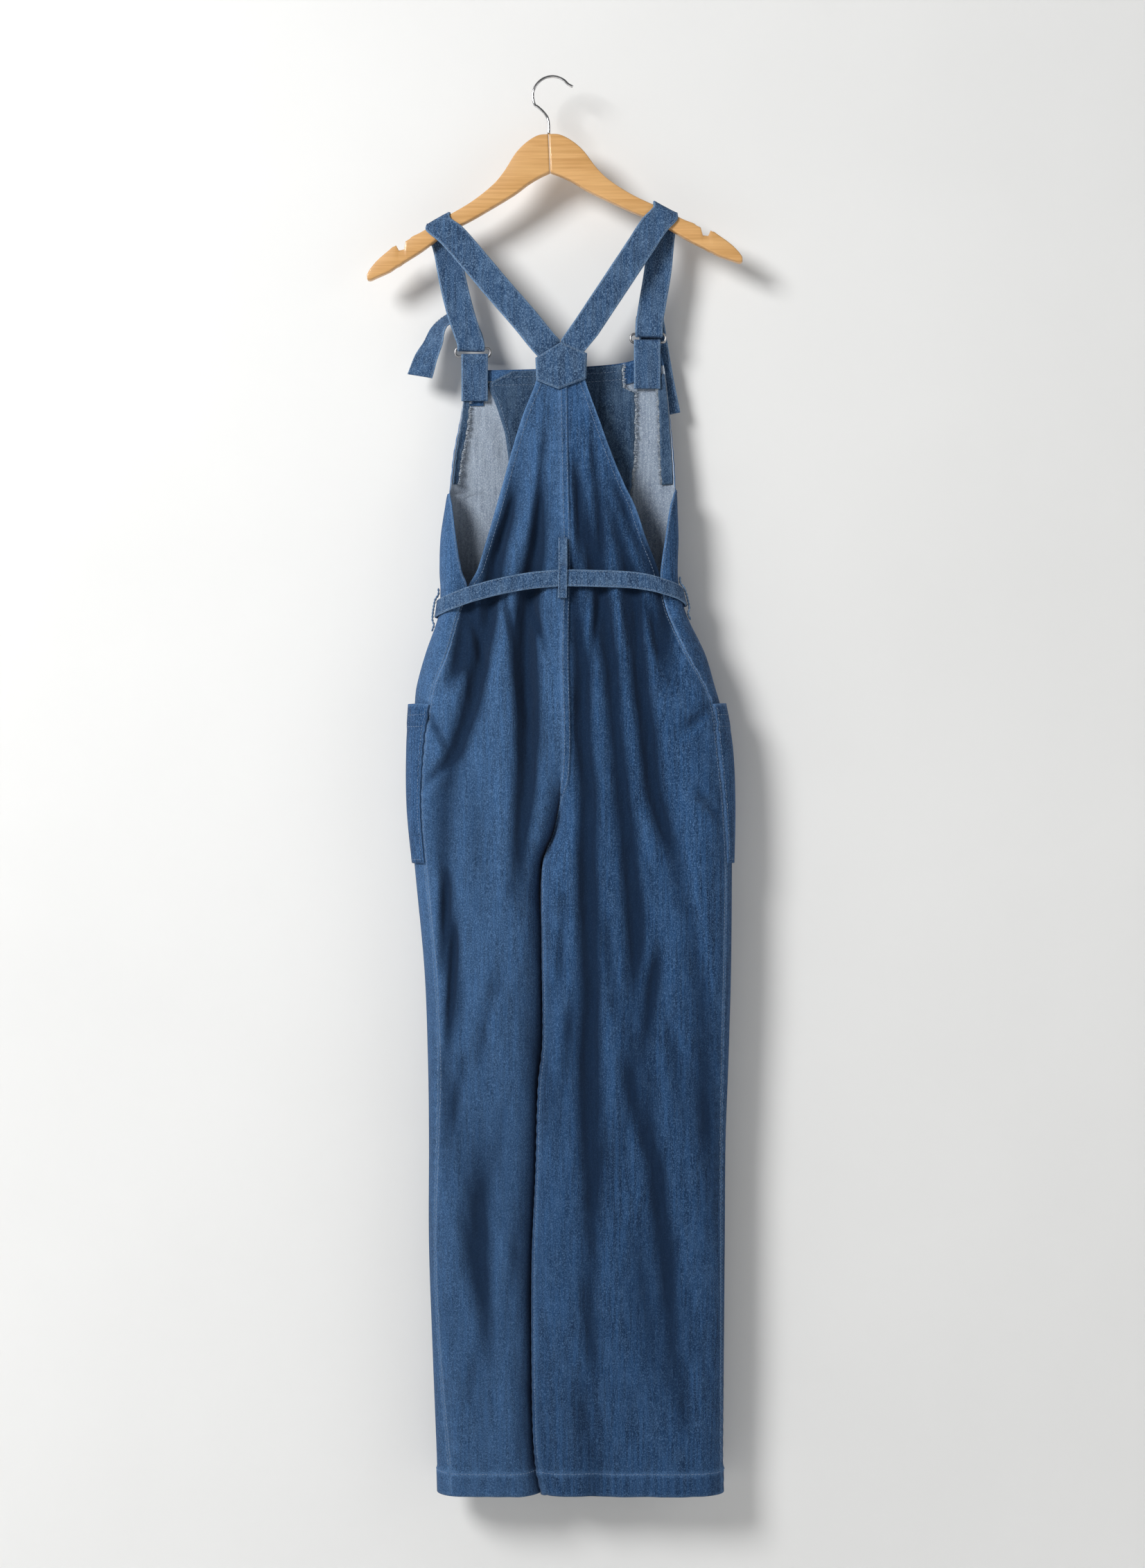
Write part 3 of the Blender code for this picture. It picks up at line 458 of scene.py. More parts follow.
def bib_tilt(points):
    """Lift the front's upper points so that they follow the bib's uneven top."""
    lift = np.array([row_value(BIB_TOP, 1, x) - BIB_Z for x in points[..., 0].ravel()])
    lift = lift.reshape(points.shape[:-1])
    points[..., 2] += lift * ease(BIB_LEVEL_Z, BIB_Z, points[..., 2])
    return points


def back_turn(side, x, z):
    """q of the place on the back at x."""
    return -front_turn(side, x, z)


def front_turn(side, x, z):
    """q of the place on the front at x."""
    out = outline(word(side) + "_out", z)
    share = abs(x - out) / abs(inner_edge(side, z) - out)
    return math.acos(1 - 2 * min(share, 1.0)) / math.pi


def grid_normals(points, outward_y):
    """Unit normals of a grid of points; outward_y says which way the first middle one faces."""
    down = np.gradient(points, axis=0)
    across = np.gradient(points, axis=1)
    normals = np.cross(down, across)
    normals /= np.maximum(np.linalg.norm(normals, axis=-1, keepdims=True), 1e-9)
    if normals[len(points) // 2, points.shape[1] // 2, 1] * outward_y < 0:
        normals = -normals
    return normals


def new_object(name, points, faces, materials, smooth=True):
    """Mesh object from points in millimetres."""
    mesh = bpy.data.meshes.new(name)
    mesh.from_pydata((np.asarray(points, float) * MM).tolist(), [], faces)
    made = bpy.data.objects.new(name, mesh)
    bpy.context.scene.collection.objects.link(made)
    for finish in materials:
        mesh.materials.append(finish)
    if smooth:
        mesh.shade_smooth()
    return made


def set_values(piece, name, values):
    """One number a point, for the material to read."""
    layer = piece.data.attributes.new(name, "FLOAT", "POINT")
    layer.data.foreach_set("value", np.asarray(values, np.float32).ravel())


def wall_piece(name, outer, inner, materials, wear_and_painted_light=None, turned_rows=0):
    """Closed cloth wall between two grids; the inner side has the second material below a turned hem."""
    rows, columns = outer.shape[:2]
    points = np.concatenate([outer.reshape(-1, 3), inner.reshape(-1, 3)])
    under = rows * columns
    index = np.arange(under).reshape(rows, columns)
    quads = np.stack([index[:-1, :-1], index[:-1, 1:], index[1:, 1:], index[1:, :-1]], axis=-1).reshape(-1, 4)
    rim = list(index[0]) + list(index[1:, -1]) + list(index[-1, -2::-1]) + list(index[-2:0:-1, 0])
    edges = [(b, a, under + a, under + b) for a, b in zip(rim, rim[1:] + rim[:1])]
    faces = quads.tolist() + (quads[:, ::-1] + under).tolist() + edges
    made = new_object(name, points, [tuple(int(i) for i in face) for face in faces], materials)
    if len(materials) > 1:
        marks = np.zeros(len(faces), np.int32)
        marks[len(quads) + turned_rows * (columns - 1):2 * len(quads)] = 1
        made.data.polygons.foreach_set("material_index", marks)
    first = made.data.polygons[len(quads) // 2]
    corner = quads[len(quads) // 2][0]
    thick = outer.reshape(-1, 3)[corner] - inner.reshape(-1, 3)[corner]
    if np.dot(np.array(first.normal), thick) < 0:
        made.data.flip_normals()
    if wear_and_painted_light is not None:
        set_values(made, "wear_and_painted_light", np.concatenate([wear_and_painted_light.ravel(), wear_and_painted_light.ravel()]))
    return made


def panel_grid(side, front):
    """Points, heights and turns of one panel. Columns run from its outer edge to the centre seam."""
    levels = np.linspace(BIB_Z if front else YOKE_Z, HEM_Z, FINE_ROWS)
    share = np.linspace(0, 1, FINE_COLUMNS)
    grid, turns = [], []
    for z in levels:
        out = outline(word(side) + "_out", z)
        edge_x = outline(word(side) + ("_front" if front else "_back"), z)
        if front:
            if abs(edge_x - out) < FREE_EDGE:
                start = front_turn(side, out - side * FREE_EDGE, z)
            else:
                start = back_turn(side, edge_x, z)
            end = 1.0
        else:
            start, end = back_turn(side, edge_x, z), -1.0
        q = start + (end - start) * share
        turns.append(q)
        grid.append(cloth_row(side, q, z, True, True))
    return np.array(grid), levels, np.array(turns)


def near(distance, reach):
    """1 where the distance is nothing, fading to 0 on both sides."""
    return np.exp(-((distance / reach) ** 2))


def panel_relief(side, front, grid, from_edge, from_inner):
    """How far hem, seams, free edges and puckers lift a panel's surface."""
    x, z = grid[..., 0], grid[..., 2]
    from_hem = z - HEM_Z
    lift = HEM_RISE * (1 - ease(HEM_BAND - 1.2, HEM_BAND + 0.6, from_hem))
    lift += 0.6 * pucker(from_hem - HEM_BAND, x, 11.0, 8.0)
    lift -= HEM_RISE * near(from_hem - HEM_BAND - 0.5, 1.6)
    lift += 0.5 * pucker(from_inner, z, 13.0, 9.0) + 0.75 * pucker(from_edge, z, 14.0, 10.0)
    if side > 0:
        lift += SEAM_RISE * (1 - ease(SEAM_BAND - 0.8, SEAM_BAND + 0.6, from_inner))
        lift -= near(from_inner - SEAM_BAND - 1.2, 1.5)
    elif not front:
        lift += 0.15 * (1 - ease(SEAM_BAND - 0.8, SEAM_BAND + 0.6, from_inner))
    if front:
        lift += 0.6 * (1 - ease(13.0, 15.0, BIB_Z - z))
    free_end = FRONT_FREE_END_Z if front else BACK_FREE_END_Z
    return lift + EDGE_RISE * (1 - ease(EDGE_BAND, EDGE_BAND + 1.5, from_edge)) * (z > free_end)


def panel_painted_shades(side, front, grid, levels, turns, from_inner):
    """How much painted shade each point gets: painted shade by the folds' depth, darker on the lower legs, and
    painted shade along the left leg's inner edge where it passes behind the right leg.
    """
    z = grid[..., 2]
    sink = np.zeros_like(z)
    folds, creases = (FRONT_FOLDS, FRONT_CREASES) if front else (BACK_FOLDS, BACK_CREASES)
    seed = FRONT_SEED if front else BACK_SEED
    for row, level in enumerate(levels):
        across = grid[row, :, 0]
        sink[row] = fold_depth(folds, across, level) + 0.8 * crease_depth(creases, across, level)
        sink[row] += 0.8 * unevenness(across, level, seed)
    sink = np.maximum(1.3 * sink, 0) * (turns > 0 if front else turns < 0)
    sink += 2.4 * ease(-760, -1150, z)
    if side < 0:
        sink += 10.0 * near(from_inner, 24.0) * ease(CROTCH_Z + 130, CROTCH_Z - 40, z)
    return sink / PAINTED_SHADE_FULL_DEPTH


def panel_wear_and_painted_light(side, grid, from_edge, from_inner):
    """How pale each point is: wear on edges, hem, seams and puckers, and painted light on the whole left side
    and towards the left.
    """
    x, z = grid[..., 0], grid[..., 2]
    from_hem = z - HEM_Z
    wear_and_painted_light = 1.1 * near(from_edge, 2.0) + 0.6 * near(from_inner, 2.0)
    wear_and_painted_light += 0.5 * near(from_hem, 2.5) + 0.7 * near(from_hem - HEM_BAND + 1.5, 2.2)
    wear_and_painted_light += 0.16 * pucker(from_hem - HEM_BAND / 2, x, 11.0, 12.0)
    wear_and_painted_light += 0.35 * np.maximum(pucker(from_edge, z, 14.0, 9.0), 0)
    wear_and_painted_light += 0.25 * np.maximum(pucker(from_inner, z, 13.0, 8.0), 0)
    wear_and_painted_light += 0.45 * near(from_inner - SEAM_BAND + 1.0, 1.6) * (side > 0)
    # Painted light: the left side, and the cloth towards the left, are painted paler
    return wear_and_painted_light + 0.16 * (side < 0) + 0.16 * ease(-PAINTED_LIGHT_REACH, PAINTED_LIGHT_REACH, -x)


def build_panel(side, front, materials):
    """One fine panel with its hem, seam bands, puckers, worn edges, painted light paling its left side and
    painted shade in its folds.
    """
    grid, levels, turns = panel_grid(side, front)
    normals = grid_normals(grid, 1 if front else -1)
    step = np.linalg.norm(np.diff(grid, axis=1), axis=-1)
    from_edge = np.concatenate([np.zeros((len(levels), 1)), np.cumsum(step, axis=1)], axis=1)
    from_inner = from_edge[:, -1:] - from_edge
    lift = panel_relief(side, front, grid, from_edge, from_inner)
    outer = grid + normals * lift[..., None]
    under = outer - normals * (WALL + np.maximum(lift, 0) * 0.3)[..., None]
    if front:
        tilted = turns > 0
        outer = np.where(tilted[..., None], bib_tilt(outer.copy()), outer)
        under = np.where(tilted[..., None], bib_tilt(under.copy()), under)
    # Wear with painted light on the left side, then painted shade in the folds and under the right leg
    wear_and_painted_light = panel_wear_and_painted_light(side, grid, from_edge, from_inner)
    painted_shades = panel_painted_shades(side, front, grid, levels, turns, from_inner)
    name = ("front_" if front else "back_") + word(side)
    made = wall_piece(name + "_cloth", outer, under, materials, wear_and_painted_light, 3 if front else 0)
    set_values(made, "painted_shade", np.concatenate([painted_shades.ravel(), np.zeros(painted_shades.size)]))
    return made, outer, normals, from_edge, from_inner, name


def ring_faces(count, size, base=0, closed=False, mirrored=False):
    """Faces between neighbouring rings of points, and the two end caps of an open row."""
    walls = []
    for ring in range(count if closed else count - 1):
        a, b = base + ring * size, base + (ring + 1) % count * size
        walls += [(a + k, a + (k + 1) % size, b + (k + 1) % size, b + k) for k in range(size)]
    last = base + (count - 1) * size
    caps = [] if closed else [tuple(reversed(range(base, base + size))), tuple(range(last, last + size))]
    if mirrored:
        walls = [(a, d, c, b) for a, b, c, d in walls]
        caps = [cap[::-1] for cap in caps]
    return walls + caps


def face_outwards(piece, points, faces):
    """Turn a piece's faces over where those given enclose a negative volume."""
    volume = sum(np.dot(points[f[0]], np.cross(points[f[1]], points[f[2]])) for f in faces)
    if volume < 0:
        piece.data.flip_normals()


def stitches(name, lines, length=2.6, gap=1.3, radius=0.28):
    """One mesh of short threads along lines; a line holds points and their outward normals."""
    points, faces = [], []
    for path, outwards in lines:
        path, outwards = np.asarray(path, float), np.asarray(outwards, float)
        steps = np.concatenate([[0.0], np.cumsum(np.linalg.norm(np.diff(path, axis=0), axis=1))])
        place = 0.6
        while place + length < steps[-1]:
            ends = []
            for share, height in ((0, -0.1), (0.25, radius), (0.75, radius), (1, -0.1)):
                at = place + length * share
                middle = np.array([np.interp(at, steps, path[:, k]) for k in range(3)])
                out = np.array([np.interp(at, steps, outwards[:, k]) for k in range(3)])
                out /= np.linalg.norm(out)
                ends.append((middle, out, height))
            along = ends[-1][0] - ends[0][0]
            along /= max(np.linalg.norm(along), 1e-6)
            faces += ring_faces(4, 4, len(points))
            for middle, out, height in ends:
                aside = np.cross(along, out)
                centre = middle + out * height
                points += [centre + aside * radius, centre + out * radius, centre - aside * radius,
                           centre - out * radius]
            place += length + gap
    return new_object(name, points, faces, [THREAD])


def resample(values, step):
    """Smooth curve through rows of numbers, a row about every step."""
    values = np.asarray(values, float)
    knots = np.concatenate([[0.0], np.cumsum(np.linalg.norm(np.diff(values[:, :3], axis=0), axis=1))])
    places = [0.0]
    for low, high in zip(knots[:-1], knots[1:]):
        places += list(np.linspace(low, high, max(3, int((high - low) / step) + 1))[1:])
    return np.array([[smooth_value(list(knots), list(values[:, k]), at) for k in range(values.shape[1])]
                     for at in places])


def rounded_section(width, thick, bead=0.0):
    """Outline of a folded strip: flat faces, round edges and slightly thicker borders."""
    half, deep = width / 2, thick / 2
    across = [-1, -0.96, -0.9, -0.82, -0.6, -0.3, 0, 0.3, 0.6, 0.82, 0.9, 0.96, 1]
    border = [0.0, 0.75, 1.0]
    rise = border + [1 - bead] * 7 + border[::-1]
    upper = [(half * a, deep * h) for a, h in zip(across, rise)]
    lower = [(x, -y) for x, y in reversed(upper[1:-1])]
    return upper + lower


def sweep(name, rows, section, finish, closed=False, ripple=0.0, first=None):
    """Strip along rows of middle and width direction. Returns the piece, its middles and their directions."""
    middles = rows[:, :3]
    count = len(rows)
    if closed:
        along = np.roll(middles, -1, axis=0) - np.roll(middles, 1, axis=0)
    else:
        along = np.gradient(middles, axis=0)
    along /= np.linalg.norm(along, axis=1, keepdims=True)
    across = rows[:, 3:6] / np.linalg.norm(rows[:, 3:6], axis=1, keepdims=True)
    normal = np.cross(along, across)
    normal /= np.linalg.norm(normal, axis=1, keepdims=True)
    length = np.concatenate([[0.0], np.cumsum(np.linalg.norm(np.diff(middles, axis=0), axis=1))])
    half = max(abs(x) for x, _ in section)
    points = []
    wear_and_painted_light = []
    for i in range(count):
        for number, (x, y) in enumerate(section):
            turn = length[i] / 5.2 + 3 * x / half + 1.5 * math.sin(length[i] / 17)
            wave = ripple * math.sin(turn) * abs(x / half)
            points.append(middles[i] + across[i] * x + normal[i] * (y + wave))
            if i == 0 and first is not None:
                points[-1] = np.array(first[number])
            wear_and_painted_light.append(8.0 * max(abs(x) / half - 0.85, 0) + 0.05)
    size = len(section)
    faces = ring_faces(count, size, closed=closed)
    made = new_object(name, points, faces, [finish])
    face_outwards(made, points, faces[:(count - 1) * size])
    set_values(made, "wear_and_painted_light", wear_and_painted_light)
    return made, middles, across, normal


def unit(vector):
    vector = np.asarray(vector, float)
    return vector / np.linalg.norm(vector)


def cloth_point(side, q, z, folded=True, fine=False):
    return cloth_row(side, np.array([q]), z, folded, fine)[0]


def smooth_cloth(side, q, z, lift, folded=False):
    """Point moved out from the unfolded surface, and its normal."""
    low, high = max(q - 0.01, -1.0), min(q + 0.01, 1.0)
    across = cloth_point(side, high, z, False) - cloth_point(side, low, z, False)
    normal = unit(np.cross(across, (0.0, 0.0, 1.0)) * side)
    return cloth_point(side, q, z, folded, folded) + normal * lift, normal


def on_front(x, z, lift):
    """Point at x on the front panels, moved out by lift."""
    side = -1 if x < inner_edge(-1, z) else 1
    point, _ = smooth_cloth(side, front_turn(side, x, z), z, lift, True)
    return bib_tilt(point[None, :])[0]


# Materials


def add_node(tree, kind, **settings):
    made = tree.nodes.new(kind)
    for key, value in settings.items():
        setattr(made, key, value)
    return made


def noise(tree, coords, scale, stretch=(1, 1, 1), detail=3.0, rough=0.55):
    mapping = add_node(tree, "ShaderNodeMapping")
    mapping.inputs["Scale"].default_value = stretch
    tree.links.new(coords, mapping.inputs["Vector"])
    made = add_node(tree, "ShaderNodeTexNoise")
    made.inputs["Scale"].default_value = scale
    made.inputs["Detail"].default_value = detail
    made.inputs["Roughness"].default_value = rough
    tree.links.new(mapping.outputs["Vector"], made.inputs["Vector"])
    return made.outputs["Fac"]


def spread(tree, source, low, high, start=0.0, end=1.0):
    """Map a grey value from low..high to start..end."""
    made = add_node(tree, "ShaderNodeMapRange", clamp=True)
    made.inputs["From Min"].default_value = low
    made.inputs["From Max"].default_value = high
    made.inputs["To Min"].default_value = start
    made.inputs["To Max"].default_value = end
    tree.links.new(source, made.inputs["Value"])
    return made.outputs["Result"]


def blend(tree, factor, first, second):
    """Colour between two colours or sockets, by the factor's socket."""
    made = add_node(tree, "ShaderNodeMix", data_type="RGBA")
    tree.links.new(factor, made.inputs[0])
    for slot, value in ((6, first), (7, second)):
        if isinstance(value, tuple):
            made.inputs[slot].default_value = (*value, 1.0)
        else:
            tree.links.new(value, made.inputs[slot])
    return made.outputs[2]


def start_material(name):
    made = bpy.data.materials.new(name)
    made.use_nodes = True
    tree = made.node_tree
    shader = tree.nodes["Principled BSDF"]
    coords = add_node(tree, "ShaderNodeTexCoord").outputs["Object"]
    return made, tree, shader, coords


def add_bump(tree, shader, height, distance, strength=1.0):
    bump = add_node(tree, "ShaderNodeBump")
    bump.inputs["Strength"].default_value = strength
    bump.inputs["Distance"].default_value = distance
    tree.links.new(height, bump.inputs["Height"])
    tree.links.new(bump.outputs["Normal"], shader.inputs["Normal"])


def denim(name, deep, middle, pale, slub=1.0, mottle=0.14):
    """Washed warp-faced cotton: vertical slubs, grain, cloudy fading, pale worn places, painted light paling
    the panels' left side and painted shade in their folds.
    """
    made, tree, shader, coords = start_material(name)
    # Darker colour for the painted shade in the folds
    shadowed = tuple(value * 0.6 for value in deep)
    shader.inputs["Roughness"].default_value = 0.92
    shader.inputs["Specular IOR Level"].default_value = 0.12
    shader.inputs["Sheen Weight"].default_value = 0.04
    shader.inputs["Sheen Roughness"].default_value = 0.6
    streak = noise(tree, coords, 1.0, (330, 330, 17), 4.0, 0.68)
    grain = noise(tree, coords, 900.0, (1, 1, 0.7), 2.0, 0.6)
    cloud = noise(tree, coords, 11.0, (1, 1, 0.6), 4.0, 0.5)
    colour = blend(tree, spread(tree, streak, 0.5 - 0.1 / slub, 0.5 + 0.12 / slub), deep, middle)
    colour = blend(tree, spread(tree, cloud, 0.35, 0.7, 0.0, 0.45), colour, middle)
    colour = blend(tree, spread(tree, grain, 0.47, 0.72, 0.0, 0.68), colour, pale)
    blotches = noise(tree, coords, 95.0, (1, 1, 0.6), 4.0, 0.6)
    colour = blend(tree, spread(tree, blotches, 0.48, 0.72, 0.0, mottle), colour, pale)
    # Pale wear, and on the panels also the painted light of their left side
    wear_and_painted_light = add_node(tree, "ShaderNodeAttribute", attribute_name="wear_and_painted_light").outputs["Fac"]
    patchy = add_node(tree, "ShaderNodeMath", operation="MULTIPLY")
    tree.links.new(spread(tree, wear_and_painted_light, 0.0, 1.0, 0.0, 0.85), patchy.inputs[0])
    tree.links.new(spread(tree, grain, 0.3, 0.6, 0.35, 1.0), patchy.inputs[1])
    colour = blend(tree, patchy.outputs[0], colour, pale)
    # Painted shade: fold valleys and the left leg's inner edge are darkened towards the shadowed colour
    painted_shade = add_node(tree, "ShaderNodeAttribute", attribute_name="painted_shade").outputs["Fac"]
    colour = blend(tree, spread(tree, painted_shade, 0.05, 0.85, 0.0, 0.9), colour, shadowed)
    tree.links.new(colour, shader.inputs["Base Color"])
    rumple = noise(tree, coords, 1.0, (46, 46, 15), 2.0, 0.5)
    relief = add_node(tree, "ShaderNodeMath", operation="MULTIPLY_ADD")
    relief.inputs[1].default_value = 0.12
    tree.links.new(grain, relief.inputs[0])
    tree.links.new(rumple, relief.inputs[2])
    add_bump(tree, shader, relief.outputs[0], 0.0045, 0.75)
    return made


def plain_cotton(name, deep, pale):
    """Sewing thread or raw cotton ends."""
    made, tree, shader, coords = start_material(name)
    shader.inputs["Roughness"].default_value = 0.9
    shader.inputs["Specular IOR Level"].default_value = 0.15
    tree.links.new(blend(tree, spread(tree, noise(tree, coords, 420.0), 0.35, 0.65), deep, pale),
                   shader.inputs["Base Color"])
    return made


def metal(name, dark, light, rough):
    made, tree, shader, coords = start_material(name)
    shader.inputs["Metallic"].default_value = 1.0
    shader.inputs["Roughness"].default_value = rough
    tree.links.new(blend(tree, spread(tree, noise(tree, coords, 160.0), 0.4, 0.65), dark, light),
                   shader.inputs["Base Color"])
    return made


def varnished_wood(name):
    """Pale wood with fine grain along the arms."""
    made, tree, shader, coords = start_material(name)
    shader.inputs["Roughness"].default_value = 0.42
    shader.inputs["Coat Weight"].default_value = 0.25
    grain = noise(tree, coords, 1.0, (14, 260, 420), 4.0, 0.6)
    cloud = noise(tree, coords, 1.0, (9, 30, 40), 2.0, 0.5)
    colour = blend(tree, spread(tree, grain, 0.35, 0.68), (0.52, 0.27, 0.085), (0.68, 0.38, 0.145))
    colour = blend(tree, spread(tree, cloud, 0.4, 0.7, 0.0, 0.5), colour, (0.74, 0.44, 0.18))
    tree.links.new(colour, shader.inputs["Base Color"])
    add_bump(tree, shader, grain, 0.0002, 0.3)
    return made


DENIM = denim("denim_cloth", (0.004, 0.020, 0.058), (0.019, 0.066, 0.168), (0.115, 0.23, 0.43))
DENIM_TRIM = denim("denim_trim", (0.009, 0.027, 0.070), (0.026, 0.069, 0.155), (0.19, 0.31, 0.48), 1.0, 0.22)
DENIM_DARK = denim("denim_unwashed", (0.009, 0.024, 0.054), (0.026, 0.058, 0.118), (0.13, 0.21, 0.32),
                   0.7, 0.3)
INSIDE = denim("denim_wrong_side", (0.14, 0.18, 0.25), (0.27, 0.33, 0.41), (0.52, 0.58, 0.66), 0.8, 0.1)
THREAD = plain_cotton("thread_blue", (0.10, 0.16, 0.26), (0.26, 0.34, 0.46))
FRAY = plain_cotton("raw_cotton", (0.16, 0.21, 0.29), (0.55, 0.6, 0.64))
RING_METAL = metal("ring_metal_grey", (0.22, 0.22, 0.23), (0.5, 0.5, 0.5), 0.35)
CHROME = metal("hook_chrome", (0.45, 0.45, 0.46), (0.7, 0.7, 0.7), 0.16)
WOOD = varnished_wood("hanger_wood")


# Panels

PANELS = {}


def keep(piece, nodes):
    """Let a piece ride the body and stand for its solids, which are hidden."""
    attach(piece, "root")
    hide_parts(*nodes)


def edge_line(outer, normals, distance, at, first, last):
    """Line on a panel at a distance from one of its edges, between two heights."""
    path, outwards = [], []
    for row in range(len(outer)):
        z = outer[row, 0, 2]
        if not last <= z <= first or at > distance[row].max() or at < distance[row].min():
            continue
        order = np.argsort(distance[row])
        path.append([np.interp(at, distance[row][order], outer[row][order, k]) for k in range(3)])
        outwards.append([np.interp(at, distance[row][order], normals[row][order, k]) for k in range(3)])
    return path, outwards


def level_line(outer, normals, z, grid_z, first=0, last=None):
    """Line across a panel at one height."""
    row = int(np.argmin(np.abs(grid_z - z)))
    return outer[row, first:last], normals[row, first:last]


for side in (-1, 1):
    for front in (True, False):
        made, outer, normals, from_edge, from_inner, name = build_panel(side, front, [DENIM, INSIDE])
        PANELS[name] = (outer, normals)
        grid_z = outer[:, FINE_COLUMNS // 2, 2]
        lines = [level_line(outer, normals, HEM_Z + HEM_BAND, grid_z, 1, -1)]
        free_end = -470 if front else -575
        leg_end = HEM_Z + HEM_BAND + 3
        lines.append(edge_line(outer, normals, from_edge, EDGE_STITCHES, 0, free_end))
        lines.append(edge_line(outer, normals, from_edge, SEAM_STITCHES, free_end, leg_end))
        if side > 0:
            lines.append(edge_line(outer, normals, from_inner, SEAM_STITCHES, 0, CROTCH_Z))
            lines.append(edge_line(outer, normals, from_inner, SEAM_BAND - 1.4, 0, leg_end))
        if front:
            lines.append(level_line(outer, normals, BIB_Z - 12, grid_z, 2, -1))
            lines.append(level_line(outer, normals, BIB_Z - 2, grid_z, 2, -1))
        sewn = stitches(name + "_stitches", [line for line in lines if len(line[0]) > 1])
        keep(made, [name])
        keep(sewn, [name])


# Facings and patches inside the bib


def layer_on_front(rows, columns, ragged_side=0.0):
    """Two grids of cloth laid inside the bib; rows holds height, first x and last x."""
    heights = [row[0] for row in rows]
    levels = np.linspace(heights[0], heights[-1], max(8, int(abs(heights[-1] - heights[0]) / 2.2)))
    grids = []
    for depth_in in (WALL + LAY_GAP, WALL + LAY_GAP + LAY_THICK):
        grid = []
        for z in levels:
            first = np.interp(-z, [-h for h in heights], [row[1] for row in rows])
            last = np.interp(-z, [-h for h in heights], [row[2] for row in rows])
            last += ragged_side * (math.sin(z / 1.7) + math.sin(z / 4.3 + 1)) * 0.5
            grid.append([on_front(first + (last - first) * c / (columns - 1), z, -depth_in)
                         for c in range(columns)])
        grids.append(np.array(grid))
    return grids


CHANCE = random.Random(5)
BIB_FRAYS = 420
ARMHOLE_FRAYS = 260
FRAY_LENGTH = 5.0
FRAY_RADIUS = 0.42


def frays(name, ends, direction, count):
    """Short loose threads along a raw edge, leaving it about in one direction."""
    points, faces = [], []
    for _ in range(count):
        at = CHANCE.random() * (len(ends) - 1.001)
        i = int(at)
        start = ends[i] + (ends[i + 1] - ends[i]) * (at - i)
        stray = [CHANCE.uniform(-0.5, 0.5), CHANCE.uniform(-0.45, 0.1), CHANCE.uniform(-0.6, 0.6)]
        away = unit(np.array(direction) + np.array(stray))
        reach = FRAY_LENGTH * CHANCE.uniform(0.35, 1.0)
        bend = np.array([0, CHANCE.uniform(-0.3, 0.1), CHANCE.uniform(-0.7, 0.3)]) * reach * 0.5
        aside = unit(np.cross(away, (0, 1, 0)))
        faces += ring_faces(4, 3, len(points))
        for share in (-0.15, 0.4, 0.75, 1.0):
            middle = start + away * reach * share + bend * max(share, 0) ** 2
            thick = FRAY_RADIUS * (1 - 0.5 * max(share, 0))
            points += [middle + aside * thick, middle + np.array([0, -thick, 0]), middle - aside * thick]
    return new_object(name, points, faces, [FRAY])


def inside_piece(name, grids, finish, fray_side=1, fray_count=0):
    """Build a layer inside the bib, hang it on the body and give its raw last edge loose threads. Returns its
    inner grid.
    """
    outer, inner = grids
    wear_and_painted_light = np.zeros(outer.shape[:2])
    wear_and_painted_light[:, 0] = wear_and_painted_light[:, -1] = 0.6
    wear_and_painted_light[0, :] = wear_and_painted_light[-1, :] = 0.4
    made = wall_piece(name + "_cloth", outer, inner, [finish], wear_and_painted_light)
    keep(made, [name])
    if fray_count:
        ends = (outer[:, -1] + inner[:, -1]) / 2
        keep(frays(name + "_frays", ends, (float(fray_side), -0.3, 0.0), fray_count), [name])
    return inner


inner = inside_piece("bib_facing", layer_on_front(FACING, 34, 0.8), DENIM_DARK, 1, BIB_FRAYS)
sewn_paths = [inner[:, 1], inner[3], inner[-2], inner[int(len(inner) * 0.1)]]
lines = [(path, np.tile([0.0, -1.0, 0.0], (len(path), 1))) for path in sewn_paths]
keep(stitches("bib_facing_stitches", lines), ["bib_facing"])


def armhole_row(side, surface, normals, z, depth_in):
    """One row of an armhole facing, from the bib's edge to its raw edge, under a row of the front panel."""
    raw_x = row_value(ARMHOLE_FACINGS[side], 1, z) + 0.7 * math.sin(z / 1.9)
    start_x = surface[1, 0]
    width = max(abs(raw_x - start_x), ARMHOLE_FACING_LEAST)
    order = np.argsort(surface[:, 0])
    line = []
    for column in range(ARMHOLE_FACING_STEPS + 1):
        x = start_x - side * width * column / ARMHOLE_FACING_STEPS
        at = np.array([np.interp(x, surface[order, 0], surface[order, k]) for k in range(3)])
        out = unit([np.interp(x, surface[order, 0], normals[order, k]) for k in range(3)])
        line.append(at - out * depth_in)
    return line


for side in (-1, 1):
    outer, normals = PANELS["front_" + word(side)]
    heights = outer[:, MIDDLE_COLUMN, 2]
    rows = [row for row in range(len(outer)) if ARMHOLE_FACING_END < heights[row] < ARMHOLE_FACING_TOP]
    under = WALL + LAY_GAP + ARMHOLE_FACING_DROP
    grids = []
    for depth_in in (under, under + LAY_THICK):
        grid = [armhole_row(side, outer[row], normals[row], heights[row], depth_in) for row in rows]
        grids.append(np.array(grid))
    name = "armhole_facing_" + word(side)
    inside_piece(name, grids, DENIM_DARK, -side, ARMHOLE_FRAYS)
    first, last, top, bottom = TAB_PATCHES[side]
    grids = layer_on_front([(top, first, last), (bottom, first, last)], 26)
    inside_piece("tab_patch_" + word(side), grids, DENIM)


# Pockets, bent round the sides and open at the top

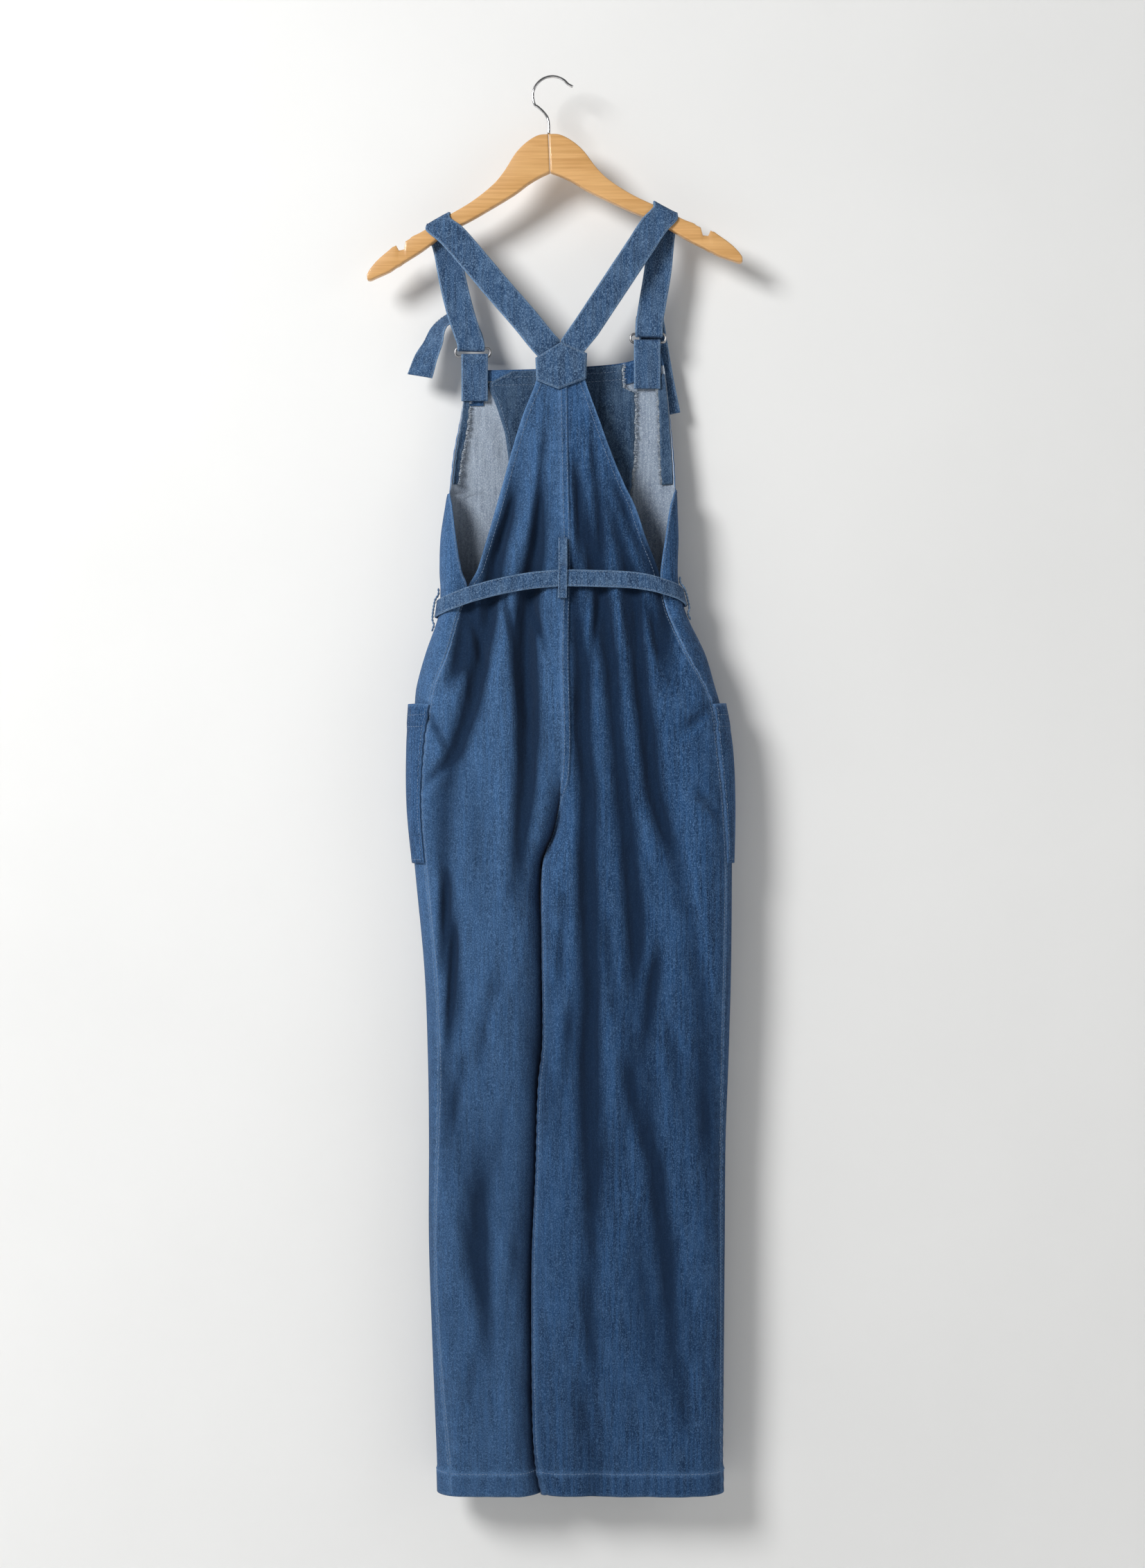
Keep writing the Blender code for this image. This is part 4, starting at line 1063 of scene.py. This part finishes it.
for side in (-1, 1):
    name = "pocket_" + word(side)
    outer, normals = PANELS["front_" + word(side)]
    columns = int((FINE_COLUMNS - 1) * POCKET_SHARE) + 1
    heights = outer[:, MIDDLE_COLUMN, 2]
    rows = [row for row in range(len(outer)) if POCKET_BOTTOM < heights[row] < POCKET_TOP]
    base = outer[rows][:, :columns]
    out = normals[rows][:, :columns]
    share = np.linspace(0, 1, columns)[None, :]
    height = (base[..., 2] - POCKET_BOTTOM) / POCKET_HEIGHT
    from_top = (1 - height) * POCKET_HEIGHT
    lift = POCKET_GAP + LAY_THICK + POCKET_GAPE * np.sin(math.pi * share) * height
    lift = lift + 0.7 * ease(0.84, 0.87, height)
    lift = lift + 0.3 * pucker(from_top - HEM_BAND, base[..., 0], 11.0, 7.0)
    face = base + out * lift[..., None]
    back = base + out * (lift - LAY_THICK)[..., None]
    wear_and_painted_light = 0.7 * near(from_top, 2.5) + 0.4 * (np.minimum(share, 1 - share) < 0.012)
    made = wall_piece(name + "_cloth", face, back, [DENIM, INSIDE], wear_and_painted_light)
    keep(made, [name])
    lines = [(face[i, 1:-1], out[i, 1:-1]) for i in (3, int(len(rows) * 0.15), len(rows) - 2)]
    lines += [(face[1:-1, c], out[1:-1, c]) for c in (1, -2, -4)]
    keep(stitches(name + "_stitches", lines), [name])


def sewn_strip(name, rows, width, thick, cut, held, inset, bead=0.0, flush=1.0, start=0, **form):
    """Folded strip with a line of stitches inside both borders of both faces, sunk where flush is under 1."""
    section = rounded_section(width, thick, bead)
    made, middles, across, normal = sweep(name + "_cloth", rows, section, DENIM_TRIM, **form)
    keep(made, [name])
    lines = []
    for offset in (inset - width / 2, width / 2 - inset):
        for face in (1, -1):
            path = middles + across * offset + normal * (face * (thick * flush) / 2)
            lines.append((path[start:], (normal * face)[start:]))
    keep(stitches(name + "_stitches", lines), [name])


# Straps

def strap_over_hanger(side):
    """Rows of a strap that bends over its arm of the hanger."""
    x, top, across_x, across_z = STRAP_TOP[side]
    reach = HANGER_THICK / 2 + SEAM_GAP + STRAP_THICK / 2 + 1.1
    profile = [(-reach, -5), (-reach + 2.6, 1), (0, 2.3), (reach - 2.6, 1), (reach, -5)]
    return [(x, y, top + rise, across_x, 0, across_z) for y, rise in profile]


def strap_through_rings(side):
    """Rows of a strap that bends under the rings' upper bars."""
    bar = RING_Z[side] + RING_HEIGHT / 2 - RING_WIRE / 2
    x = RING_X[side] + (-2 if side < 0 else 1)
    half = RING_PAIR / 2 + RING_WIRE / 2 + SEAM_GAP + STRAP_THICK / 2
    profile = [(-half, 3), (-half + 0.5, -1.6), (-half + 2.5, -2.8), (half - 2.5, -2.8), (half - 0.5, -1.6),
               (half, 3)]
    return [(x, RING_Y + y, bar + rise, 1, 0, 0) for y, rise in profile]


for side in (-1, 1):
    rows = STRAP_BACK[side] + strap_over_hanger(side) + STRAP_FRONT[side] + strap_through_rings(side)
    rows = resample(rows + STRAP_LOOSE[side], STRAP_PITCH)
    first = [(MITRE_X[side], rows[0, 1] + y, MITRE_Z - side * MITRE_HALF * 2 * x / STRAP_WIDTH)
             for x, y in rounded_section(STRAP_WIDTH, STRAP_THICK, STRIP_BEAD)]
    sewn_strip("strap_" + word(side), rows, STRAP_WIDTH, STRAP_THICK, (STRAP_FLAT[side], STRAP_WIDTH),
               "hung", STRAP_INSET, STRIP_BEAD, flush=0.96, start=2, ripple=0.55, first=first)


# Hexagonal patch where the straps meet

corners = np.array(YOKE, float)
centre = corners.mean(axis=0)
outline_points = []
for first, second in zip(corners, np.roll(corners, -1, axis=0)):
    for share in np.linspace(0, 1, 14)[:-1]:
        outline_points.append(first + (second - first) * share)
outline_points = np.array(outline_points)
points, faces = [], []
size = len(outline_points)
layer_size = YOKE_RINGS * size
for layer, y in ((0, YOKE_Y[1]), (1, YOKE_Y[0])):
    for ring in range(YOKE_RINGS):
        share = 1 - ring / YOKE_RINGS * 0.98
        drop = (0.5 if ring == 0 else 0.0) - (0.35 if ring == 1 else 0.0)
        for x, z in centre + (outline_points - centre) * share:
            wave = 0.16 * math.sin(x / 2.6) * math.sin(z / 3.1) + 0.2 * math.sin(x / 9 + z / 7)
            points.append((x, y + (drop + wave) * (1 if layer == 0 else -0.2), z))
for layer in (0, 1):
    base = layer * layer_size
    for ring in range(YOKE_RINGS - 1):
        for k in range(size):
            a, b = base + ring * size + k, base + ring * size + (k + 1) % size
            face = (a, b, b + size, a + size)
            faces.append(face if layer == 0 else face[::-1])
    last = tuple(range(base + layer_size - size, base + layer_size))
    faces.append(last if layer == 0 else last[::-1])
faces += [((k + 1) % size, k, layer_size + k, layer_size + (k + 1) % size) for k in range(size)]
patch = new_object("yoke_patch_cloth", points, faces, [DENIM_TRIM])
if patch.data.polygons[0].normal.y > 0:
    patch.data.flip_normals()
set_values(patch, "wear_and_painted_light", [0.75 if i % layer_size < size else 0.08 for i in range(len(points))])
keep(patch, ["yoke_patch"])
sewn_outline = centre + (outline_points - centre) * 0.93
path = [(x, YOKE_Y[1] - 0.15, z) for x, z in sewn_outline]
sewn = stitches("yoke_patch_stitches", [(path + path[:1], [(0.0, -1.0, 0.0)] * (size + 1))])
keep(sewn, ["yoke_patch"])


# Tabs folded round the rings

for side in (-1, 1):
    half = RING_PAIR / 2 + RING_WIRE / 2 + SEAM_GAP + TAB_WALL / 2
    beside = TAB_WALL / 2 + 0.2
    bar = RING_Z[side] - RING_HEIGHT / 2 + RING_WIRE / 2
    profile = [(beside, TAB_END[side]), (beside, bar - 9), (half, bar - 2), (half - 0.5, bar + 1.2),
               (half - 2.2, bar + 2.4)]
    profile += [(-y, z) for y, z in reversed(profile)]
    rows = resample([(TAB_X[side], RING_Y + y, z, 1, 0, 0) for y, z in profile], STRIP_PITCH)
    sewn_strip("tab_" + word(side), rows, TAB_WIDTH, TAB_WALL, (TAB_FLAT, TAB_WIDTH), "folded", STRAP_INSET)


# Belt and its loops

def belt_height(q, x):
    """Height of the belt's middle at x, on the back where q is under 0 and else on the front."""
    if q < 0:
        return row_value(BELT_BACK, 1, x)
    first, last = BELT_BACK[0], BELT_BACK[-1]
    return first[1] + (last[1] - first[1]) * (x - first[0]) / (last[0] - first[0])


turns = [(-1, -1 + 2 * step / BELT_STEPS) for step in range(BELT_STEPS)]
turns += [(1, 1 - 2 * step / BELT_STEPS) for step in range(BELT_STEPS)]
rows = []
for side, q in turns:
    z = BELT_BACK[0][1]
    for _ in range(3):
        z = belt_height(q, cloth_point(side, q, z, False)[0])
    middle, _ = smooth_cloth(side, q, z, BELT_LIFT + BELT_THICK / 2)
    rise = cloth_point(side, q, z + 6, False) - cloth_point(side, q, z - 6, False)
    rows.append((*middle, *rise))
sewn_strip("belt", np.array(rows), BELT_WIDTH, BELT_THICK, (BELT_FLAT, BELT_WIDTH), "hung", BELT_INSET,
           STRIP_BEAD, flush=0.95, closed=True, ripple=0.35)

low = LAY_GAP + LOOP_WALL / 2 + 1.2
high = BELT_LIFT + BELT_THICK + LOOP_WALL / 2 + 0.6
clear = BELT_WIDTH / 2 + 1.5
for place, side in (("left", -1), ("right", 1), ("back", 1)):
    if place == "back":
        q, across_loop, width = -0.995, (1, 0, 0), BACK_LOOP_WIDTH
        middle_z = belt_height(q, BACK_LOOP_X)
        top, end = BACK_LOOP_TOP, BACK_LOOP_END
    else:
        q, across_loop, width = 0.0, (0, 1, 0), SIDE_LOOP_WIDTH
        middle_z = BELT_BACK[0 if side < 0 else -1][1]
        top, end = middle_z + SIDE_LOOP_REACH, middle_z - SIDE_LOOP_REACH
    profile = [(top, low), (middle_z + clear + 6, low), (middle_z + clear, high), (middle_z - clear, high),
               (middle_z - clear - 6, low), (end, low)]
    rows = [(*smooth_cloth(side, q, z, lift)[0], *across_loop) for z, lift in profile]
    rows = resample(rows, STRIP_PITCH)
    cut = (LOOP_FLAT[place], LOOP_CUT_WIDTH)
    sewn_strip("belt_loop_" + place, rows, width, LOOP_WALL, cut, "laid", LOOP_INSET)


# Rings, hook and hanger arms

def tube(name, path, radius, finish, closed=False, sides=16):
    """Round wire along a path."""
    path = np.asarray(path, float)
    if closed:
        along = np.roll(path, -1, axis=0) - np.roll(path, 1, axis=0)
    else:
        along = np.gradient(path, axis=0)
    points = []
    for middle, way in zip(path, along):
        first = unit(np.cross(way, (0.0, 1.0, 0.0)))
        second = unit(np.cross(way, first))
        for k in range(sides):
            angle = 2 * math.pi * k / sides
            points.append(middle + radius * (first * math.cos(angle) + second * math.sin(angle)))
    faces = ring_faces(len(path), sides, closed=closed, mirrored=True)
    made = new_object(name, points, faces, [finish])
    face_outwards(made, points, faces)
    return made


half_x = RING_WIDTH / 2 - RING_WIRE / 2 - RING_CORNER
half_z = RING_HEIGHT / 2 - RING_WIRE / 2 - RING_CORNER
for side in (-1, 1):
    for number, shift in ((1, -RING_PAIR / 2), (2, RING_PAIR / 2)):
        path = []
        for turn in range(4):
            corner_x = half_x * (1, -1, -1, 1)[turn]
            corner_z = half_z * (1, 1, -1, -1)[turn]
            for step in range(9):
                angle = math.radians(90 * turn + 90 * step / 8)
                path.append((RING_X[side] + corner_x + RING_CORNER * math.cos(angle), RING_Y + shift,
                             RING_Z[side] + corner_z + RING_CORNER * math.sin(angle)))
        name = f"ring_{word(side)}_{number}"
        keep(tube(name + "_wire", path, RING_WIRE / 2, RING_METAL, True), [name])

path = list(HOOK_TIP)
for degrees in range(50, 211, 8):
    angle = math.radians(degrees)
    path.append((HOOK_BOW * math.cos(angle), HOOK_RADIUS - HOOK_BOW + HOOK_BOW * math.sin(angle)))
path = resample([(x, 0.0, z) for x, z in path + HOOK_STEM], 2.0)
keep(tube("hanger_hook_wire", path, HOOK_RADIUS, CHROME), ["hanger_hook"])

half = HANGER_THICK / 2
for side in (-1, 1):
    distances = []
    for low, high in zip(ARM[:-1], ARM[1:]):
        parts = max(2, int((high[0] - low[0]) / 2.5) + 1)
        distances += [low[0] + (high[0] - low[0]) * k / parts for k in range(parts)]
    distances.append(ARM[-1][0])
    knots, tops, bottoms = [list(column) for column in zip(*ARM)]
    points = []
    for distance in distances:
        if ARM_NOTCH[0] < distance < ARM_NOTCH[1]:
            top = float(np.interp(distance, knots, tops))
            bottom = float(np.interp(distance, knots, bottoms))
        else:
            top = row_value(ARM, 1, distance)
            bottom = row_value(ARM, 2, distance)
        bevel = min(ARM_BEVEL, (top - bottom) / 3)
        x = HANGER_MIDDLE + side * distance
        for turn in range(4):
            corner_y = (half - bevel) * (1, -1, -1, 1)[turn]
            corner_z = (top - bevel, top - bevel, bottom + bevel, bottom + bevel)[turn]
            for step in range(6):
                angle = math.radians(90 * turn + 18 * step)
                y = corner_y + bevel * math.cos(angle)
                z = corner_z + bevel * math.sin(angle)
                points.append((x * math.cos(HANGER_TILT) - z * math.sin(HANGER_TILT) + HANGER_SHIFT, y,
                               z * math.cos(HANGER_TILT) + x * math.sin(HANGER_TILT)))
    faces = ring_faces(len(distances), 24, mirrored=True)
    name = "hanger_arm_" + word(side)
    arm = new_object(name + "_wood", points, faces, [WOOD])
    face_outwards(arm, points, faces)
    keep(arm, [name])


# Studio: a plain wall behind the garment, seen from the front only, and a floor

WALL_Y = 50
WALL_REACH = 3000
STAGE_HALF = 4000
FLOOR_Z = -1720
CORNERS = [(-1, -1), (1, -1), (1, 1), (-1, 1)]


def stage_plane(name, corners, finish):
    made = new_object(name, corners, [(0, 1, 2, 3)], [finish], smooth=False)
    return made


wall_finish, tree, shader, coords = start_material("wall_paint")
shader.inputs["Roughness"].default_value = 0.95
shader.inputs["Specular IOR Level"].default_value = 0.05
wall_cloud = spread(tree, noise(tree, coords, 2.2), 0.3, 0.7)
tree.links.new(blend(tree, wall_cloud, (0.78, 0.78, 0.77), (0.81, 0.81, 0.8)), shader.inputs["Base Color"])
glass = add_node(tree, "ShaderNodeBsdfTransparent")
turned_away = add_node(tree, "ShaderNodeNewGeometry").outputs["Backfacing"]
mixed = add_node(tree, "ShaderNodeMixShader")
tree.links.new(turned_away, mixed.inputs[0])
tree.links.new(shader.outputs[0], mixed.inputs[1])
tree.links.new(glass.outputs[0], mixed.inputs[2])
tree.links.new(mixed.outputs[0], tree.nodes["Material Output"].inputs["Surface"])
wall = stage_plane("wall", [(x * STAGE_HALF, WALL_Y, z * WALL_REACH) for x, z in CORNERS], wall_finish)
if wall.data.polygons[0].normal.y > 0:
    wall.data.flip_normals()
wall.visible_shadow = False

floor_finish, tree, shader, coords = start_material("floor_paint")
shader.inputs["Roughness"].default_value = 0.9
floor_cloud = spread(tree, noise(tree, coords, 1.5), 0.3, 0.7)
tree.links.new(blend(tree, floor_cloud, (0.8, 0.8, 0.8), (0.86, 0.86, 0.86)), shader.inputs["Base Color"])
stage_plane("floor", [(x * STAGE_HALF, y * STAGE_HALF, FLOOR_Z) for x, y in CORNERS], floor_finish)


def area_light(name, place, target, size, power):
    data = bpy.data.lights.new(name, "AREA")
    data.shape = "DISK"
    data.size = size
    data.energy = power
    lamp = bpy.data.objects.new(name, data)
    bpy.context.scene.collection.objects.link(lamp)
    lamp.location = place
    lamp.rotation_euler = (Vector(target) - Vector(place)).to_track_quat("-Z", "Y").to_euler()


area_light("key_light", (-2.05, -2.6, 0.8), (0.0, 0.0, -0.8), 1.3, 122.0)
area_light("fill_light", (2.6, -1.6, -0.5), (0.8, 0.0, -0.9), 2.2, 13.0)
area_light("back_light", (0.8, 2.6, 0.6), (0.0, 0.0, -0.8), 1.8, 20.0)

world = bpy.data.worlds.new("studio")
world.use_nodes = True
world.node_tree.nodes["Background"].inputs["Color"].default_value = (1.0, 1.0, 1.0, 1.0)
world.node_tree.nodes["Background"].inputs["Strength"].default_value = 0.15
bpy.context.scene.world = world

lens = bpy.data.cameras.new("camera")
lens.sensor_fit = "VERTICAL"
lens.sensor_height = 36.0
lens.lens = 57.1
camera = bpy.data.objects.new("camera", lens)
bpy.context.scene.collection.objects.link(camera)
camera.location = (0.0226, -2.8, -0.795)
camera.rotation_euler = (math.pi / 2, 0.0, 0.0)
bpy.context.scene.camera = camera
bpy.context.scene.view_settings.view_transform = "Standard"
